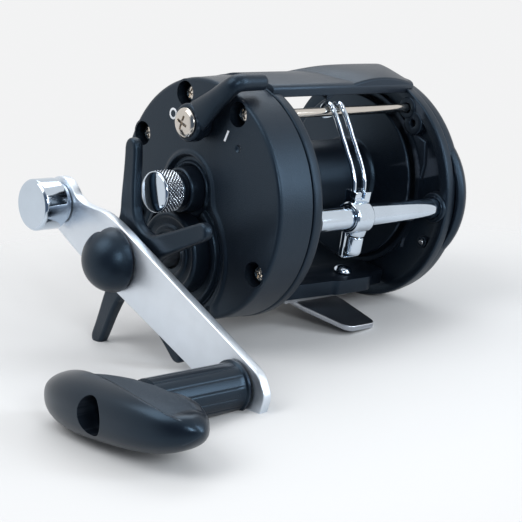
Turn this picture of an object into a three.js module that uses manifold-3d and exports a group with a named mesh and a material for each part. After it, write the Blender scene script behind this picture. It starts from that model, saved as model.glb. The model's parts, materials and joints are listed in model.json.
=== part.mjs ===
// A trolling reel: a conventional multiplying reel with a star drag and a line guide on a diamond screw.
// Millimetres. +Z is up from the foot, -X is the handle side, -Y is the front, towards the rod's tip.
// Everything is drawn about the centre of the round side plates, which the last group lifts above the foot.

import * as THREE from 'three';
import { mergeVertices } from 'three/addons/utils/BufferGeometryUtils.js';
import Module from 'manifold-3d';

const wasm = await Module();
wasm.setup();

// Driving dimensions
const FOOT_DROP = 34.5;         // from the plates' centre down to the foot's underside
const GAP = 0.3;                // between parts that touch
const RING_RADIUS = 38.3;
const PLATE_RADIUS = 38.0;
const RING_OUT = 31.9;          // outer face of each frame ring, from the middle of the reel
const RING_IN = 28.25;          // inner face of each frame ring
const SPOOL_AXIS = [5.0, 1.6];  // y and z of each axis that lies along X
const AXLE_SPACING = 21.0;      // from the spool's axis down to the handle's
const HANDLE_AXIS = [SPOOL_AXIS[0], SPOOL_AXIS[1] - AXLE_SPACING];
const WORM_AXIS = [-32.85, 3.0];
const GUIDE_AXIS = [-13.0, 30.9];
const LEVER_AXIS = [3.4, 24.0];
const CARRIAGE_X = -6.9;

const COVER_SEAM = RING_OUT + GAP;
const COVER_FACE = 45.3;        // outer face of the handle-side cover
const COVER_FLOOR = 43.1;       // inner face of that cover
const COVER_BORE = 36.8;        // radius of the space inside it
const LEFT_FACE = 37.4;
const LEFT_FLOOR = 35.9;

const SCREW_CIRCLE = 33.0;
const COVER_SCREW_ANGLES = [20.5, 65.5, 110.5, 203.5, 335.5];
const LEFT_SCREW_ANGLES = [122, 198, 20];
const LEFT_SCREW_CIRCLE = 31.8;
const RIVET_X = 12.0;
const RIVET_Y = -14.0;

const MAIN_MODULE = 0.7;
const MAIN_TEETH = 45;
const PINION_TEETH = 15;
const WIND_MODULE = 0.6;
const SPOOL_GEAR_TEETH = 14;
const IDLER_TEETH = 50;
const WORM_GEAR_TEETH = 12;

const FLANGE_RADIUS = 28.0;
const FLANGE_OUT = 27.2;
const ARBOR_RADIUS = 12.6;
const SHAFT_RADIUS = 2.0;
const TUBE_RADIUS = 3.45;
const GUIDE_RADIUS = 1.45;

const ARM_TILT = 13.3;          // degrees, from +Y up towards the counterweight
const ARM_INNER = 66.9;
const ARM_OUTER = 69.9;
const KNOB_THROW = 62.8;
const COUNTERWEIGHT_THROW = 32.0;
const STAR_ANGLE = 74.3;
const STAR_REACH = 36.8;
const GRIP_TILT = -15.0;
const GRIP_X = -109.9;
const GRIP_HALF_LENGTH = 33.0;
const GRIP_HALF_DEPTH = 11.0;

const radians = (degrees) => (degrees * Math.PI) / 180;
const polar = ([y, z], radius, degrees) => [
  y + radius * Math.cos(radians(degrees)),
  z + radius * Math.sin(radians(degrees)),
];
const KNOB_AXIS = polar(HANDLE_AXIS, -KNOB_THROW, ARM_TILT);
const COUNTERWEIGHT_AXIS = polar(HANDLE_AXIS, COUNTERWEIGHT_THROW, ARM_TILT);

// Finishes
const finish = (color, roughness, metalness) => () =>
  new THREE.MeshStandardMaterial({ color, roughness, metalness });
const graphite = finish(0x23262b, 0.45, 0.0);
const blackRubber = finish(0x202327, 0.6, 0.0);
const chrome = finish(0xd9dde2, 0.08, 1.0);
const nickel = finish(0xc9c3b8, 0.2, 1.0);
const steel = finish(0x9aa0a6, 0.3, 1.0);
const brass = finish(0xb08d4a, 0.3, 1.0);
const aluminium = finish(0xd0d3d8, 0.35, 1.0);
const blackPaint = finish(0x17191c, 0.35, 0.2);
const fibre = finish(0x2c2c2e, 0.9, 0.0);
const nylon = finish(0xd8d4c8, 0.5, 0.0);

// A closed solid from a three.js geometry: shared corners are merged and faces of no area are dropped.
function solid(geometry) {
  const bare = new THREE.BufferGeometry();
  bare.setAttribute('position', geometry.getAttribute('position'));
  bare.setIndex(geometry.getIndex());
  const merged = mergeVertices(bare, 1e-4);
  const corners = merged.getAttribute('position').array;
  const index = merged.getIndex().array;
  const faces = [];
  let volume = 0;
  for (let i = 0; i < index.length; i += 3) {
    const [a, b, c] = [index[i], index[i + 1], index[i + 2]];
    if (a === b || b === c || c === a) continue;
    faces.push([a, b, c]);
    const [p, q, r] = [a, b, c].map((n) => new THREE.Vector3().fromArray(corners, 3 * n));
    volume += p.dot(q.cross(r));
  }
  const outward = volume > 0 ? faces : faces.map(([a, b, c]) => [a, c, b]);
  return new wasm.Manifold(new wasm.Mesh({
    numProp: 3,
    vertProperties: new Float32Array(corners),
    triVerts: new Uint32Array(outward.flat()),
  }));
}

const joined = (first, ...others) => others.reduce((whole, part) => whole.add(part), first);
const cut = (first, ...others) => others.reduce((whole, part) => whole.subtract(part), first);

// Turns a shape drawn as (y, z) and extruded along its own Z into the reel's frame, along X.
const ALONG_X = new THREE.Matrix4().set(0, 0, 1, 0, 1, 0, 0, 0, 0, 1, 0, 0, 0, 0, 0, 1);

// A turned part about an axis along X. The profile lists [x, radius], and closes on itself off the axis.
function turned(profile, [y, z] = [0, 0], sides = 16) {
  const points = profile.map(([x, radius]) => new THREE.Vector2(radius, x));
  if (profile[0][1] > 0) points.push(points[0].clone());
  const geometry = new THREE.LatheGeometry(points, sides);
  geometry.applyMatrix4(new THREE.Matrix4().set(0, 1, 0, 0, 0, 0, 1, 0, 1, 0, 0, 0, 0, 0, 0, 1));
  return solid(geometry.translate(0, y, z));
}

// A plain disc or pin along X from x0 to x1, and the same with a hole.
const pin = (x0, x1, radius, axis, sides = 16) =>
  turned([[x0, 0], [x0, radius], [x1, radius], [x1, 0]], axis, sides);
const washer = (x0, x1, outer, inner, axis, sides = 16) =>
  turned([[x0, inner], [x0, outer], [x1, outer], [x1, inner]], axis, sides);

// A flat part: an outline in (y, z) extruded along X, with its edges broken by an optional bevel.
function slab(shape, x0, x1, bevel = 0, curveSegments = 12) {
  const geometry = new THREE.ExtrudeGeometry(shape, {
    depth: Math.abs(x1 - x0) - 2 * bevel,
    bevelEnabled: bevel > 0,
    bevelThickness: bevel,
    bevelSize: bevel,
    bevelOffset: -bevel,
    bevelSegments: 1,
    curveSegments,
  });
  geometry.translate(0, 0, Math.min(x0, x1) + bevel);
  return solid(geometry.applyMatrix4(ALONG_X));
}

const outline = (points) => new THREE.Shape(points.map(([a, b]) => new THREE.Vector2(a, b)));

// A vertical part: a turned profile of [z, radius] about an axis along Z.
function upright(profile, x, y, sides = 12) {
  const points = profile.map(([z, radius]) => new THREE.Vector2(radius, z));
  if (profile[0][1] > 0) points.push(points[0].clone());
  const geometry = new THREE.LatheGeometry(points, sides);
  return solid(geometry.rotateX(Math.PI / 2).translate(x, y, 0));
}

const block = (x0, x1, y0, y1, z0, z1) =>
  solid(new THREE.BoxGeometry(x1 - x0, y1 - y0, z1 - z0)
    .translate((x0 + x1) / 2, (y0 + y1) / 2, (z0 + z1) / 2));

// A round bar between two points, which may taper.
function bar(from, to, startRadius, endRadius = startRadius, sides = 12) {
  const start = new THREE.Vector3(...from);
  const run = new THREE.Vector3(...to).sub(start);
  const geometry = new THREE.CylinderGeometry(endRadius, startRadius, run.length(), sides);
  geometry.translate(0, run.length() / 2, 0);
  const turn = new THREE.Quaternion().setFromUnitVectors(new THREE.Vector3(0, 1, 0), run.normalize());
  return solid(geometry.applyQuaternion(turn).translate(...from));
}

const ball = ([x, y, z], radius, sides = 12) =>
  solid(new THREE.SphereGeometry(radius, sides, sides / 2).translate(x, y, z));

// A round wire along a path.
function wire(curve, radius, steps, sides = 6) {
  const section = new THREE.Shape();
  section.absarc(0, 0, radius, 0, 2 * Math.PI, false);
  return solid(new THREE.ExtrudeGeometry(section, {
    extrudePath: curve,
    steps,
    curveSegments: sides,
    bevelEnabled: false,
  }));
}

// A compression spring whose axis lies along X.
class Coil extends THREE.Curve {
  constructor(x0, x1, [y, z], radius, turns) {
    super();
    Object.assign(this, { x0, x1, y, z, radius, turns });
  }

  getPoint(t, target = new THREE.Vector3()) {
    const angle = 2 * Math.PI * this.turns * t;
    return target.set(
      this.x0 + (this.x1 - this.x0) * t,
      this.y + this.radius * Math.cos(angle),
      this.z + this.radius * Math.sin(angle),
    );
  }
}

// A spur gear's outline. The first tooth points at startAngle, or a space does.
function gearShape([y, z], teeth, module, startAngle, startsOnSpace = false) {
  const tip = (module * teeth) / 2 + module;
  const root = (module * teeth) / 2 - 1.2 * module;
  const pitch = 360 / teeth;
  const first = startAngle + (startsOnSpace ? pitch / 2 : 0);
  const points = [];
  for (let tooth = 0; tooth < teeth; tooth++) {
    const middle = first + tooth * pitch;
    for (const [radius, share] of [[root, -0.34], [tip, -0.11], [tip, 0.11], [root, 0.34]]) {
      points.push(polar([y, z], radius, middle + share * pitch));
    }
  }
  return outline(points);
}

// A ratchet or clicker wheel: sharp teeth between two radii.
function toothedWheel(axis, teeth, tip, root, lean) {
  const pitch = 360 / teeth;
  const points = [];
  for (let tooth = 0; tooth < teeth; tooth++) {
    points.push(polar(axis, tip, tooth * pitch));
    points.push(polar(axis, root, tooth * pitch + lean * pitch));
  }
  return outline(points);
}

const model = new THREE.Group();
const aroundPlates = new THREE.Group();
aroundPlates.position.z = FOOT_DROP;
model.add(aroundPlates);

// Adds one named part.
function part(name, body, material) {
  const { vertProperties, triVerts } = body.getMesh();
  const geometry = new THREE.BufferGeometry();
  geometry.setAttribute('position', new THREE.BufferAttribute(vertProperties, 3));
  geometry.setIndex(new THREE.BufferAttribute(triVerts, 1));
  geometry.computeVertexNormals();
  const mesh = new THREE.Mesh(geometry, material());
  mesh.name = name;
  aroundPlates.add(mesh);
}

// Frame: two rings, a top bar with a raised hump, and a bottom crossbar that carries the foot.
const SPOOL_OPENING = 24.0;
const FLANGE_RECESS = 28.7;
const BAR_FRONT = -10.6;
const BAR_REAR = 14.0;
const CROSSBAR_FRONT = -20.0;
const CROSSBAR_TOP = -25.3;
const CROSSBAR_BOTTOM = -30.2;

function frameRing(side) {
  const x = (value) => side * value;
  const handleSide = side < 0;
  let ring = pin(x(RING_IN), x(RING_OUT), RING_RADIUS, [0, 0], 40);
  ring = cut(
    ring,
    pin(x(RING_IN - 1), x(RING_OUT + 1), SPOOL_OPENING, SPOOL_AXIS, 30),
    pin(x(RING_IN - 1), x(RING_IN + 1.2), FLANGE_RECESS, SPOOL_AXIS, 30),
    pin(x(RING_IN - 1), x(30.0), TUBE_RADIUS + GAP, WORM_AXIS),
    pin(x(RING_IN - 1), x(RING_OUT + 1), handleSide ? 1.5 : 2.9, WORM_AXIS, 16),
    pin(x(RING_IN - 1), x(30.0), GUIDE_RADIUS + GAP, GUIDE_AXIS, 16),
  );
  const angles = handleSide ? COVER_SCREW_ANGLES : LEFT_SCREW_ANGLES;
  const circle = handleSide ? SCREW_CIRCLE : LEFT_SCREW_CIRCLE;
  for (const angle of angles) {
    ring = cut(ring, pin(x(30.1), x(RING_OUT + 1), 1.6, polar([0, 0], circle, angle), 8));
  }
  return ring;
}

function topBar() {
  const section = outline([
    [BAR_FRONT, 35.5], [BAR_FRONT, 38.4], [BAR_FRONT + 0.8, 39.1], [2, 39.1], [8, 38.0], [BAR_REAR, 36.0],
    [BAR_REAR - 1.2, 33.4], [6, 35.2],
  ]);
  const humpSection = outline([[-9.4, 37.5], [-9.4, 39.0], [-6.5, 42.3], [3, 42.3], [10.5, 37.2]]);
  const humpSide = new THREE.ExtrudeGeometry(
    outline([[-8.5, 38.6], [-2, 42.3], [27, 42.5], [RING_OUT, 38.9], [RING_OUT, 36], [-8.5, 36]]),
    { depth: 30, bevelEnabled: false },
  ).rotateX(Math.PI / 2).translate(0, 15, 0);
  const hump = slab(humpSection, -9, RING_OUT).intersect(solid(humpSide));
  return joined(slab(section, -RING_OUT, RING_OUT), hump);
}

function crossbar() {
  const clearance = pin(-RING_IN - 1, RING_IN + 1, FLANGE_RADIUS + 1.6, SPOOL_AXIS, 30);
  const rail = block(
    -RING_IN - 0.5, RING_IN + 0.5, CROSSBAR_FRONT, -CROSSBAR_FRONT, CROSSBAR_BOTTOM, CROSSBAR_TOP,
  );
  let whole = cut(rail, clearance);
  for (const side of [-1, 1]) {
    whole = cut(whole, upright([[-40, 0], [-40, 1.8], [-20, 1.8], [-20, 0]], side * RIVET_X, RIVET_Y, 12));
  }
  return whole;
}

part('frame', joined(frameRing(-1), frameRing(1), topBar(), crossbar()), graphite);

// Foot: a thin plate with two tapering tongues, and a raised pad in the middle, riveted to the crossbar.
const FOOT_THICKNESS = 1.8;
const PAD_HALF = 14.5;
const PAD_REACH = 16.0;

function footPlate() {
  const shape = outline([
    [-9.2, -19], [-6.4, -36.5], [-4.9, -38], [4.9, -38], [6.4, -36.5], [9.2, -19],
    [9.2, 19], [6.4, 36.5], [4.9, 38], [-4.9, 38], [-6.4, 36.5], [-9.2, 19],
  ]);
  const plate = new THREE.ExtrudeGeometry(shape, { depth: FOOT_THICKNESS, bevelEnabled: false });
  const pad = block(
    -PAD_HALF, PAD_HALF, -PAD_REACH, PAD_REACH, -FOOT_DROP + FOOT_THICKNESS - 0.1, CROSSBAR_BOTTOM - GAP,
  );
  let foot = joined(solid(plate.translate(0, 0, -FOOT_DROP)), pad);
  for (const side of [-1, 1]) {
    foot = cut(foot, upright([[-40, 0], [-40, 1.8], [-20, 1.8], [-20, 0]], side * RIVET_X, RIVET_Y, 12));
  }
  return foot;
}

part('reel_foot', footPlate(), blackPaint);

for (const [name, side] of [['foot_rivet_1', -1], ['foot_rivet_2', 1]]) {
  const profile = [[-FOOT_DROP + 2, 0], [-FOOT_DROP + 2, 1.5], [CROSSBAR_TOP + GAP, 1.5],
    [CROSSBAR_TOP + GAP, 3.1], [CROSSBAR_TOP + 1.4, 2.6], [CROSSBAR_TOP + 2.3, 1.2],
    [CROSSBAR_TOP + 2.5, 0],
  ];
  part(name, upright(profile, side * RIVET_X, RIVET_Y, 12), chrome);
}

// Handle-side cover: a cup with a keyhole-shaped raised boss over the gears and the spool's bearing.
const COUNTERBORE_RADIUS = 3.85;
const COUNTERBORE_SEAT = 40.3;

function handleSideCover() {
  let cover = turned([
    [-COVER_SEAM, 0], [-COVER_SEAM, PLATE_RADIUS], [-44.2, 37.75], [-COVER_FACE, 36.6], [-COVER_FACE, 0],
  ], [0, 0], 40);
  cover = cut(
    cover,
    pin(-COVER_FACE - 1, -COVER_FACE + 1.1, 21.6, HANDLE_AXIS, 30),
    pin(-COVER_FACE - 1, -COVER_FACE + 1.1, 9.8, SPOOL_AXIS, 20),
  );
  const insidePlate = pin(-COVER_FLOOR - 0.5, -COVER_FACE, 36.6, [0, 0], 40);
  const gearStep = pin(-COVER_FLOOR - 0.5, -COVER_FACE, 17.4, HANDLE_AXIS, 40).intersect(insidePlate);
  cover = joined(
    cover,
    gearStep,
    pin(-COVER_FLOOR - 0.5, -49.3, 13.2, HANDLE_AXIS, 20),
    pin(-COVER_FLOOR - 0.5, -49.4, 8.2, SPOOL_AXIS, 20),
    pin(-COVER_FLOOR - 0.5, -55.5, 5.2, SPOOL_AXIS, 16),
  );
  cover = cut(cover, pin(-COVER_SEAM + 1, -COVER_FLOOR, COVER_BORE, [0, 0], 40));
  for (const angle of COVER_SCREW_ANGLES) {
    const post = pin(-COVER_SEAM, -COVER_FLOOR - 0.5, 4.6, polar([0, 0], SCREW_CIRCLE, angle), 12);
    const within = pin(-COVER_SEAM, -COVER_FLOOR - 0.5, 37.2, [0, 0], 40);
    cover = joined(cover, post.intersect(within));
  }
  for (const angle of COVER_SCREW_ANGLES) {
    const axis = polar([0, 0], SCREW_CIRCLE, angle);
    cover = cut(
      cover,
      pin(-COVER_SEAM + 1, -COVER_FACE - 1, 1.7, axis, 8),
      pin(-COUNTERBORE_SEAT, -COVER_FACE - 1, COUNTERBORE_RADIUS, axis, 14),
    );
  }
  return cut(
    cover,
    pin(-COVER_FLOOR + 1, -48.0, 11.0, HANDLE_AXIS, 20),
    pin(-COVER_FLOOR + 1, -51, 5.0, HANDLE_AXIS, 16),
    pin(-COVER_FLOOR + 1, -47.4, 6.4, SPOOL_AXIS, 16),
    pin(-COVER_FLOOR + 1, -50.2, 4.5, SPOOL_AXIS, 16),
    pin(-COVER_FLOOR + 1, -56, 2.4, SPOOL_AXIS, 16),
    pin(-COVER_FLOOR + 1, -COVER_FACE - 1, 2.3, LEVER_AXIS, 16),
  );
}

part('handle_side_cover', handleSideCover(), graphite);

COVER_SCREW_ANGLES.forEach((angle, i) => {
  const profile = [[-30.5, 0], [-30.5, 1.3], [-COUNTERBORE_SEAT - GAP, 1.3], [-COUNTERBORE_SEAT - GAP, 2.9],
    [-41.6, 2.7], [-42.3, 1.6], [-42.5, 0]];
  part(`cover_screw_${i + 1}`, turned(profile, polar([0, 0], SCREW_CIRCLE, angle), 10), nickel);
});

// Left cover: a shallow cup with a bulge at the front for the hand and for the worm's gear.
function leftSideCover() {
  const bulge = [-14.8, 2.5];
  let cover = joined(
    turned([
      [COVER_SEAM, 0], [COVER_SEAM, 37.8], [36.4, 37.5], [LEFT_FACE, 36.0], [LEFT_FACE, 0],
    ], [0, 0], 40),
    turned([
      [COVER_SEAM, 0], [COVER_SEAM, 24.8], [34.6, 25.6], [36.6, 24.6], [LEFT_FACE, 22.6], [LEFT_FACE, 0],
    ], bulge, 30),
    turned([[LEFT_FACE - 1, 0], [LEFT_FACE - 1, 9.5], [39.4, 9.0], [40.2, 8.0], [40.2, 0]], SPOOL_AXIS, 20),
  );
  cover = cut(
    cover,
    pin(COVER_SEAM - 1, LEFT_FLOOR, 36.0, [0, 0], 40),
    pin(COVER_SEAM - 1, LEFT_FLOOR, 23.4, bulge, 30),
    pin(COVER_SEAM - 1, 38.6, 5.2, SPOOL_AXIS, 16),
  );
  const seatRing = washer(LEFT_FLOOR - 0.3, LEFT_FLOOR + 0.5, 7.4, 5.2, SPOOL_AXIS, 16);
  cover = joined(cover, seatRing, pin(32.4, LEFT_FLOOR + 0.5, 1.5, IDLER_AXIS, 12));
  for (const angle of LEFT_SCREW_ANGLES) {
    const place = polar([0, 0], LEFT_SCREW_CIRCLE, angle);
    cover = joined(cover, pin(COVER_SEAM, LEFT_FLOOR + 0.5, 3.9, place, 12));
  }
  for (const angle of LEFT_SCREW_ANGLES) {
    const axis = polar([0, 0], LEFT_SCREW_CIRCLE, angle);
    cover = cut(cover, pin(COVER_SEAM - 1, 38, 1.6, axis, 12), pin(35.6, 38, 3.2, axis, 16));
  }
  return cut(cover, buttonSlot());
}

// The gear train's idler sits on the line from the spool's axis to the worm's, with a little backlash.
const BACKLASH = 0.04;
const spoolToWormAngle = Math.atan2(
  WORM_AXIS[1] - SPOOL_AXIS[1],
  WORM_AXIS[0] - SPOOL_AXIS[0],
) * 180 / Math.PI;
const idlerDistance = (WIND_MODULE * (SPOOL_GEAR_TEETH + IDLER_TEETH)) / 2 + BACKLASH;
const IDLER_AXIS = polar(SPOOL_AXIS, idlerDistance, spoolToWormAngle);

// Clicker: a button on the left cover slides a tongue towards a toothed wheel on the spool's shaft.
const CLICKER_ANGLE = 300;
const CLICKER_REACH = 17.0;
const CLICKER_TRAVEL = 3.5;

function radialBox(x0, x1, near, far, halfWidth) {
  const corners = [[near, -halfWidth], [far, -halfWidth], [far, halfWidth], [near, halfWidth]];
  const [c, s] = [Math.cos(radians(CLICKER_ANGLE)), Math.sin(radians(CLICKER_ANGLE))];
  return slab(outline(corners.map(([a, b]) => [
    SPOOL_AXIS[0] + a * c - b * s,
    SPOOL_AXIS[1] + a * s + b * c,
  ])), x0, x1);
}

function buttonSlot() {
  const near = CLICKER_REACH - CLICKER_TRAVEL - 2.1;
  return radialBox(LEFT_FLOOR - 2, LEFT_FACE + 1, near, CLICKER_REACH + 2.1, 1.6);
}

part('left_side_cover', leftSideCover(), graphite);

LEFT_SCREW_ANGLES.forEach((angle, i) => {
  const profile = [[30.5, 0], [30.5, 1.3], [35.9, 1.3], [35.9, 2.9], [36.7, 2.6], [37.1, 0]];
  part(`left_screw_${i + 1}`, turned(profile, polar([0, 0], LEFT_SCREW_CIRCLE, angle), 10), nickel);
});

part('clicker_button', joined(
  radialBox(LEFT_FACE + GAP, LEFT_FACE + 2.3, CLICKER_REACH - 3.2, CLICKER_REACH + 3.2, 3.2),
  radialBox(30.5, LEFT_FACE + 1, CLICKER_REACH - 1.5, CLICKER_REACH + 1.5, 1.2),
), blackRubber);
part('clicker_tongue', radialBox(29.2, 30.2, CLICKER_REACH - 4.8, CLICKER_REACH + 1.2, 0.9), steel);
part('clicker_wheel', cut(
  slab(toothedWheel(SPOOL_AXIS, 18, 8.0, 6.6, 0.5), 29.2, 30.2),
  pin(28, 31, SHAFT_RADIUS + GAP, SPOOL_AXIS, 16),
), brass);

// Spool and its shaft, on a ball bearing at each end.
part('spool', turned([
  [-FLANGE_OUT, SHAFT_RADIUS + GAP], [-FLANGE_OUT, FLANGE_RADIUS], [-25.7, FLANGE_RADIUS],
  [-25.5, ARBOR_RADIUS], [25.5, ARBOR_RADIUS], [25.7, FLANGE_RADIUS],
  [FLANGE_OUT, FLANGE_RADIUS], [FLANGE_OUT, SHAFT_RADIUS + GAP],
], SPOOL_AXIS, 30), graphite);
part('spool_shaft', pin(-55.1, 38.3, SHAFT_RADIUS, SPOOL_AXIS, 16), steel);
part('spool_bearing_handle_side', washer(-47.7, -49.9, 4.3, SHAFT_RADIUS + GAP, SPOOL_AXIS, 20), steel);
part('spool_bearing_left', washer(35.9, 38.3, 4.9, SHAFT_RADIUS + GAP, SPOOL_AXIS, 20), steel);

// Line-guide drive: spool gear, idler and worm gear, a diamond screw in a slotted tube.
const WIND_GEAR_IN = 33.0;
const WIND_GEAR_OUT = 35.0;
const spoolGearAngle = spoolToWormAngle;
const idlerMeshAngle = spoolToWormAngle + 180;
part('spool_gear', cut(
  slab(gearShape(SPOOL_AXIS, SPOOL_GEAR_TEETH, WIND_MODULE, spoolGearAngle), WIND_GEAR_IN, WIND_GEAR_OUT),
  pin(32, 36, SHAFT_RADIUS + GAP, SPOOL_AXIS, 16),
), brass);
part('idler_gear', cut(
  slab(gearShape(IDLER_AXIS, IDLER_TEETH, WIND_MODULE, idlerMeshAngle, true), WIND_GEAR_IN, WIND_GEAR_OUT),
  pin(32, 36, 1.8, IDLER_AXIS, 16),
), nylon);
part('worm_gear', cut(
  slab(gearShape(WORM_AXIS, WORM_GEAR_TEETH, WIND_MODULE, idlerMeshAngle), WIND_GEAR_IN, WIND_GEAR_OUT),
  pin(32, 36, 1.5, WORM_AXIS, 12),
), brass);
part('worm_shaft', turned([
  [-30.6, 0], [-30.6, 1.2], [-27.6, 1.2], [-27.6, 2.3], [27.6, 2.3], [27.6, 1.2], [35.4, 1.2], [35.4, 0],
], WORM_AXIS, 16), steel);
part('worm_tube', cut(
  washer(-29.6, 29.6, TUBE_RADIUS, 2.75, WORM_AXIS, 20),
  block(-25, 25, WORM_AXIS[0] - 1.2, WORM_AXIS[0] + 1.2, WORM_AXIS[1] - 4, WORM_AXIS[1] - 1),
), chrome);
part('worm_bushing', washer(30.4, 31.6, 2.6, 1.5, WORM_AXIS, 14), brass);
part('guide_bar', pin(-29.6, 29.6, GUIDE_RADIUS, GUIDE_AXIS, 16), nickel);

// Carriage that runs along the tube, with the pawl below and the wire line guide above.
const COLLAR_RADIUS = 5.0;
const SOCKET_Y = -30.6;
const CAP_TOP = -3.3;
const CAP_BOTTOM = -9.7;

function carriageBody() {
  const [y, z] = WORM_AXIS;
  const collar = pin(CARRIAGE_X - 5.2, CARRIAGE_X + 2.6, COLLAR_RADIUS, WORM_AXIS, 20);
  const socket = block(CARRIAGE_X - 3.3, CARRIAGE_X + 3.3, SOCKET_Y - 2.3, SOCKET_Y + 2.3, z + 1, 10.8);
  const neck = upright([[-3.0, 0], [-3.0, 2.9], [z, 2.9], [z, 0]], CARRIAGE_X, y, 20);
  const pawlBore = upright([[-4, 0], [-4, 1.9], [z, 1.9], [z, 0]], CARRIAGE_X, y, 16);
  const tubeBore = pin(CARRIAGE_X - 8, CARRIAGE_X + 8, TUBE_RADIUS + 0.15, WORM_AXIS, 20);
  let body = cut(joined(collar, socket, neck), tubeBore, pawlBore);
  for (const side of [-1, 1]) {
    const x = CARRIAGE_X + side * 2.2;
    body = cut(body, upright([[8.2, 0], [8.2, 1.05], [12, 1.05], [12, 0]], x, SOCKET_Y, 10));
  }
  return body;
}

part('carriage', carriageBody(), chrome);
part('pawl', joined(
  upright([[-8.2, 0], [-8.2, 1.6], [-1.9, 1.6], [-1.9, 0]], CARRIAGE_X, WORM_AXIS[0], 14),
  block(CARRIAGE_X - 0.9, CARRIAGE_X + 0.9, WORM_AXIS[0] - 0.35, WORM_AXIS[0] + 0.35, -2.2, 0.4),
), brass);
part('pawl_cap', upright([
  [CAP_TOP, 1.95], [CAP_TOP, 2.9], [CAP_BOTTOM + 0.6, 2.9], [CAP_BOTTOM, 2.3], [CAP_BOTTOM, 0.8],
  [CAP_BOTTOM + 1, 0.8], [CAP_BOTTOM + 1, 1.95],
], CARRIAGE_X, WORM_AXIS[0], 14), chrome);
part('pawl_clip', joined(
  block(
    CARRIAGE_X - 5.0, CARRIAGE_X + 0.6, WORM_AXIS[0] - 0.8, WORM_AXIS[0] + 0.8,
    CAP_BOTTOM - 0.9, CAP_BOTTOM - 0.3,
  ),
  block(CARRIAGE_X - 5.0, CARRIAGE_X - 4.4, WORM_AXIS[0] - 0.8, WORM_AXIS[0] + 0.8, CAP_BOTTOM - 0.9, -3.0),
), chrome);

// The wire guide is one loop: up from the socket, over the guide bar, and back down the other side.
const WIRE_RADIUS = 0.75;

function guideWire(x) {
  const [barY, barZ] = GUIDE_AXIS;
  const hook = GUIDE_RADIUS + WIRE_RADIUS + 0.35;
  const rise = [
    [SOCKET_Y, 8.6], [SOCKET_Y + 0.2, 11.5], [SOCKET_Y + 0.9, 14.2], [-27.2, 18.0], [-22.4, 24.2],
    [-17.4, 30.4]];
  const over = [150, 110, 70, 30, -10].map((angle) => polar([barY, barZ], hook, angle));
  const points = [...rise, ...over].map(([y, z]) => new THREE.Vector3(x, y, z));
  return wire(new THREE.CatmullRomCurve3(points), WIRE_RADIUS, 15, 5);
}

const WIRE_SPREAD = 2.2;
part('line_guide', joined(
  guideWire(CARRIAGE_X - WIRE_SPREAD),
  guideWire(CARRIAGE_X + WIRE_SPREAD),
  bar(
    [CARRIAGE_X - WIRE_SPREAD, ...polar(GUIDE_AXIS, GUIDE_RADIUS + WIRE_RADIUS + 0.35, -10)],
    [CARRIAGE_X + WIRE_SPREAD, ...polar(GUIDE_AXIS, GUIDE_RADIUS + WIRE_RADIUS + 0.35, -10)],
    WIRE_RADIUS * 0.9, WIRE_RADIUS * 0.9, 6,
  ),
), chrome);

// Bridge plate: closes the gear case inside the handle-side cover and carries the yoke's two posts.
const BRIDGE_IN = 32.5;
const BRIDGE_OUT = 34.3;
const YOKE_POSTS = [[SPOOL_AXIS[0] - 12, 5.0], [SPOOL_AXIS[0] + 12, 5.0]];

function bridgePlate() {
  let plate = pin(-BRIDGE_IN, -BRIDGE_OUT, COVER_BORE - 0.4, [0, 0], 40);
  for (const axis of YOKE_POSTS) plate = joined(plate, pin(-BRIDGE_IN - 1, -42.6, 1.2, axis, 12));
  for (const angle of COVER_SCREW_ANGLES) {
    plate = cut(plate, pin(-30, -36, 5.2, polar([0, 0], SCREW_CIRCLE, angle), 12));
  }
  return cut(
    plate,
    pin(-30, -36, 5.4, SPOOL_AXIS, 16),
    pin(-30, -36, 2.8, HANDLE_AXIS, 16),
    pin(-30, -36, 1.8, LEVER_AXIS, 12),
    pin(-30, -36, 1.3, DOG_AXIS, 12),
    pin(-30, -36, 2.8, WORM_AXIS, 14),
  );
}

// Drive: gear shaft, ratchet with its dog, drag washers, main gear and the pinion on the spool's shaft.
const DOG_AXIS = polar(HANDLE_AXIS, 15.5, 200);
part('bridge_plate', bridgePlate(), aluminium);
part('drive_shaft', turned([
  [-31.8, 0], [-31.8, 2.5], [-34.7, 2.5], [-34.7, 6.0], [-35.6, 6.0], [-35.6, 2.9], [-66.2, 2.9],
  [-66.2, 2.6], [-73.2, 2.6], [-73.2, 0],
], HANDLE_AXIS, 16), steel);
part('anti_reverse_ratchet', cut(
  slab(toothedWheel(HANDLE_AXIS, 16, 9.0, 7.6, 0.12), -35.9, -37.1),
  pin(-35, -38, 3.2, HANDLE_AXIS, 16),
), steel);

function dog() {
  const [y, z] = DOG_AXIS;
  const nose = polar(HANDLE_AXIS, 9.5, 222);
  const heel = polar(DOG_AXIS, 2.2, 120);
  return joined(
    pin(-35.9, -37.1, 2.2, DOG_AXIS, 16),
    slab(outline([heel, nose, polar(HANDLE_AXIS, 11.6, 224), polar([y, z], 2.2, 290)]), -35.9, -37.1),
    pin(-33.2, -36.2, 1.0, DOG_AXIS, 10),
  );
}

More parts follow.
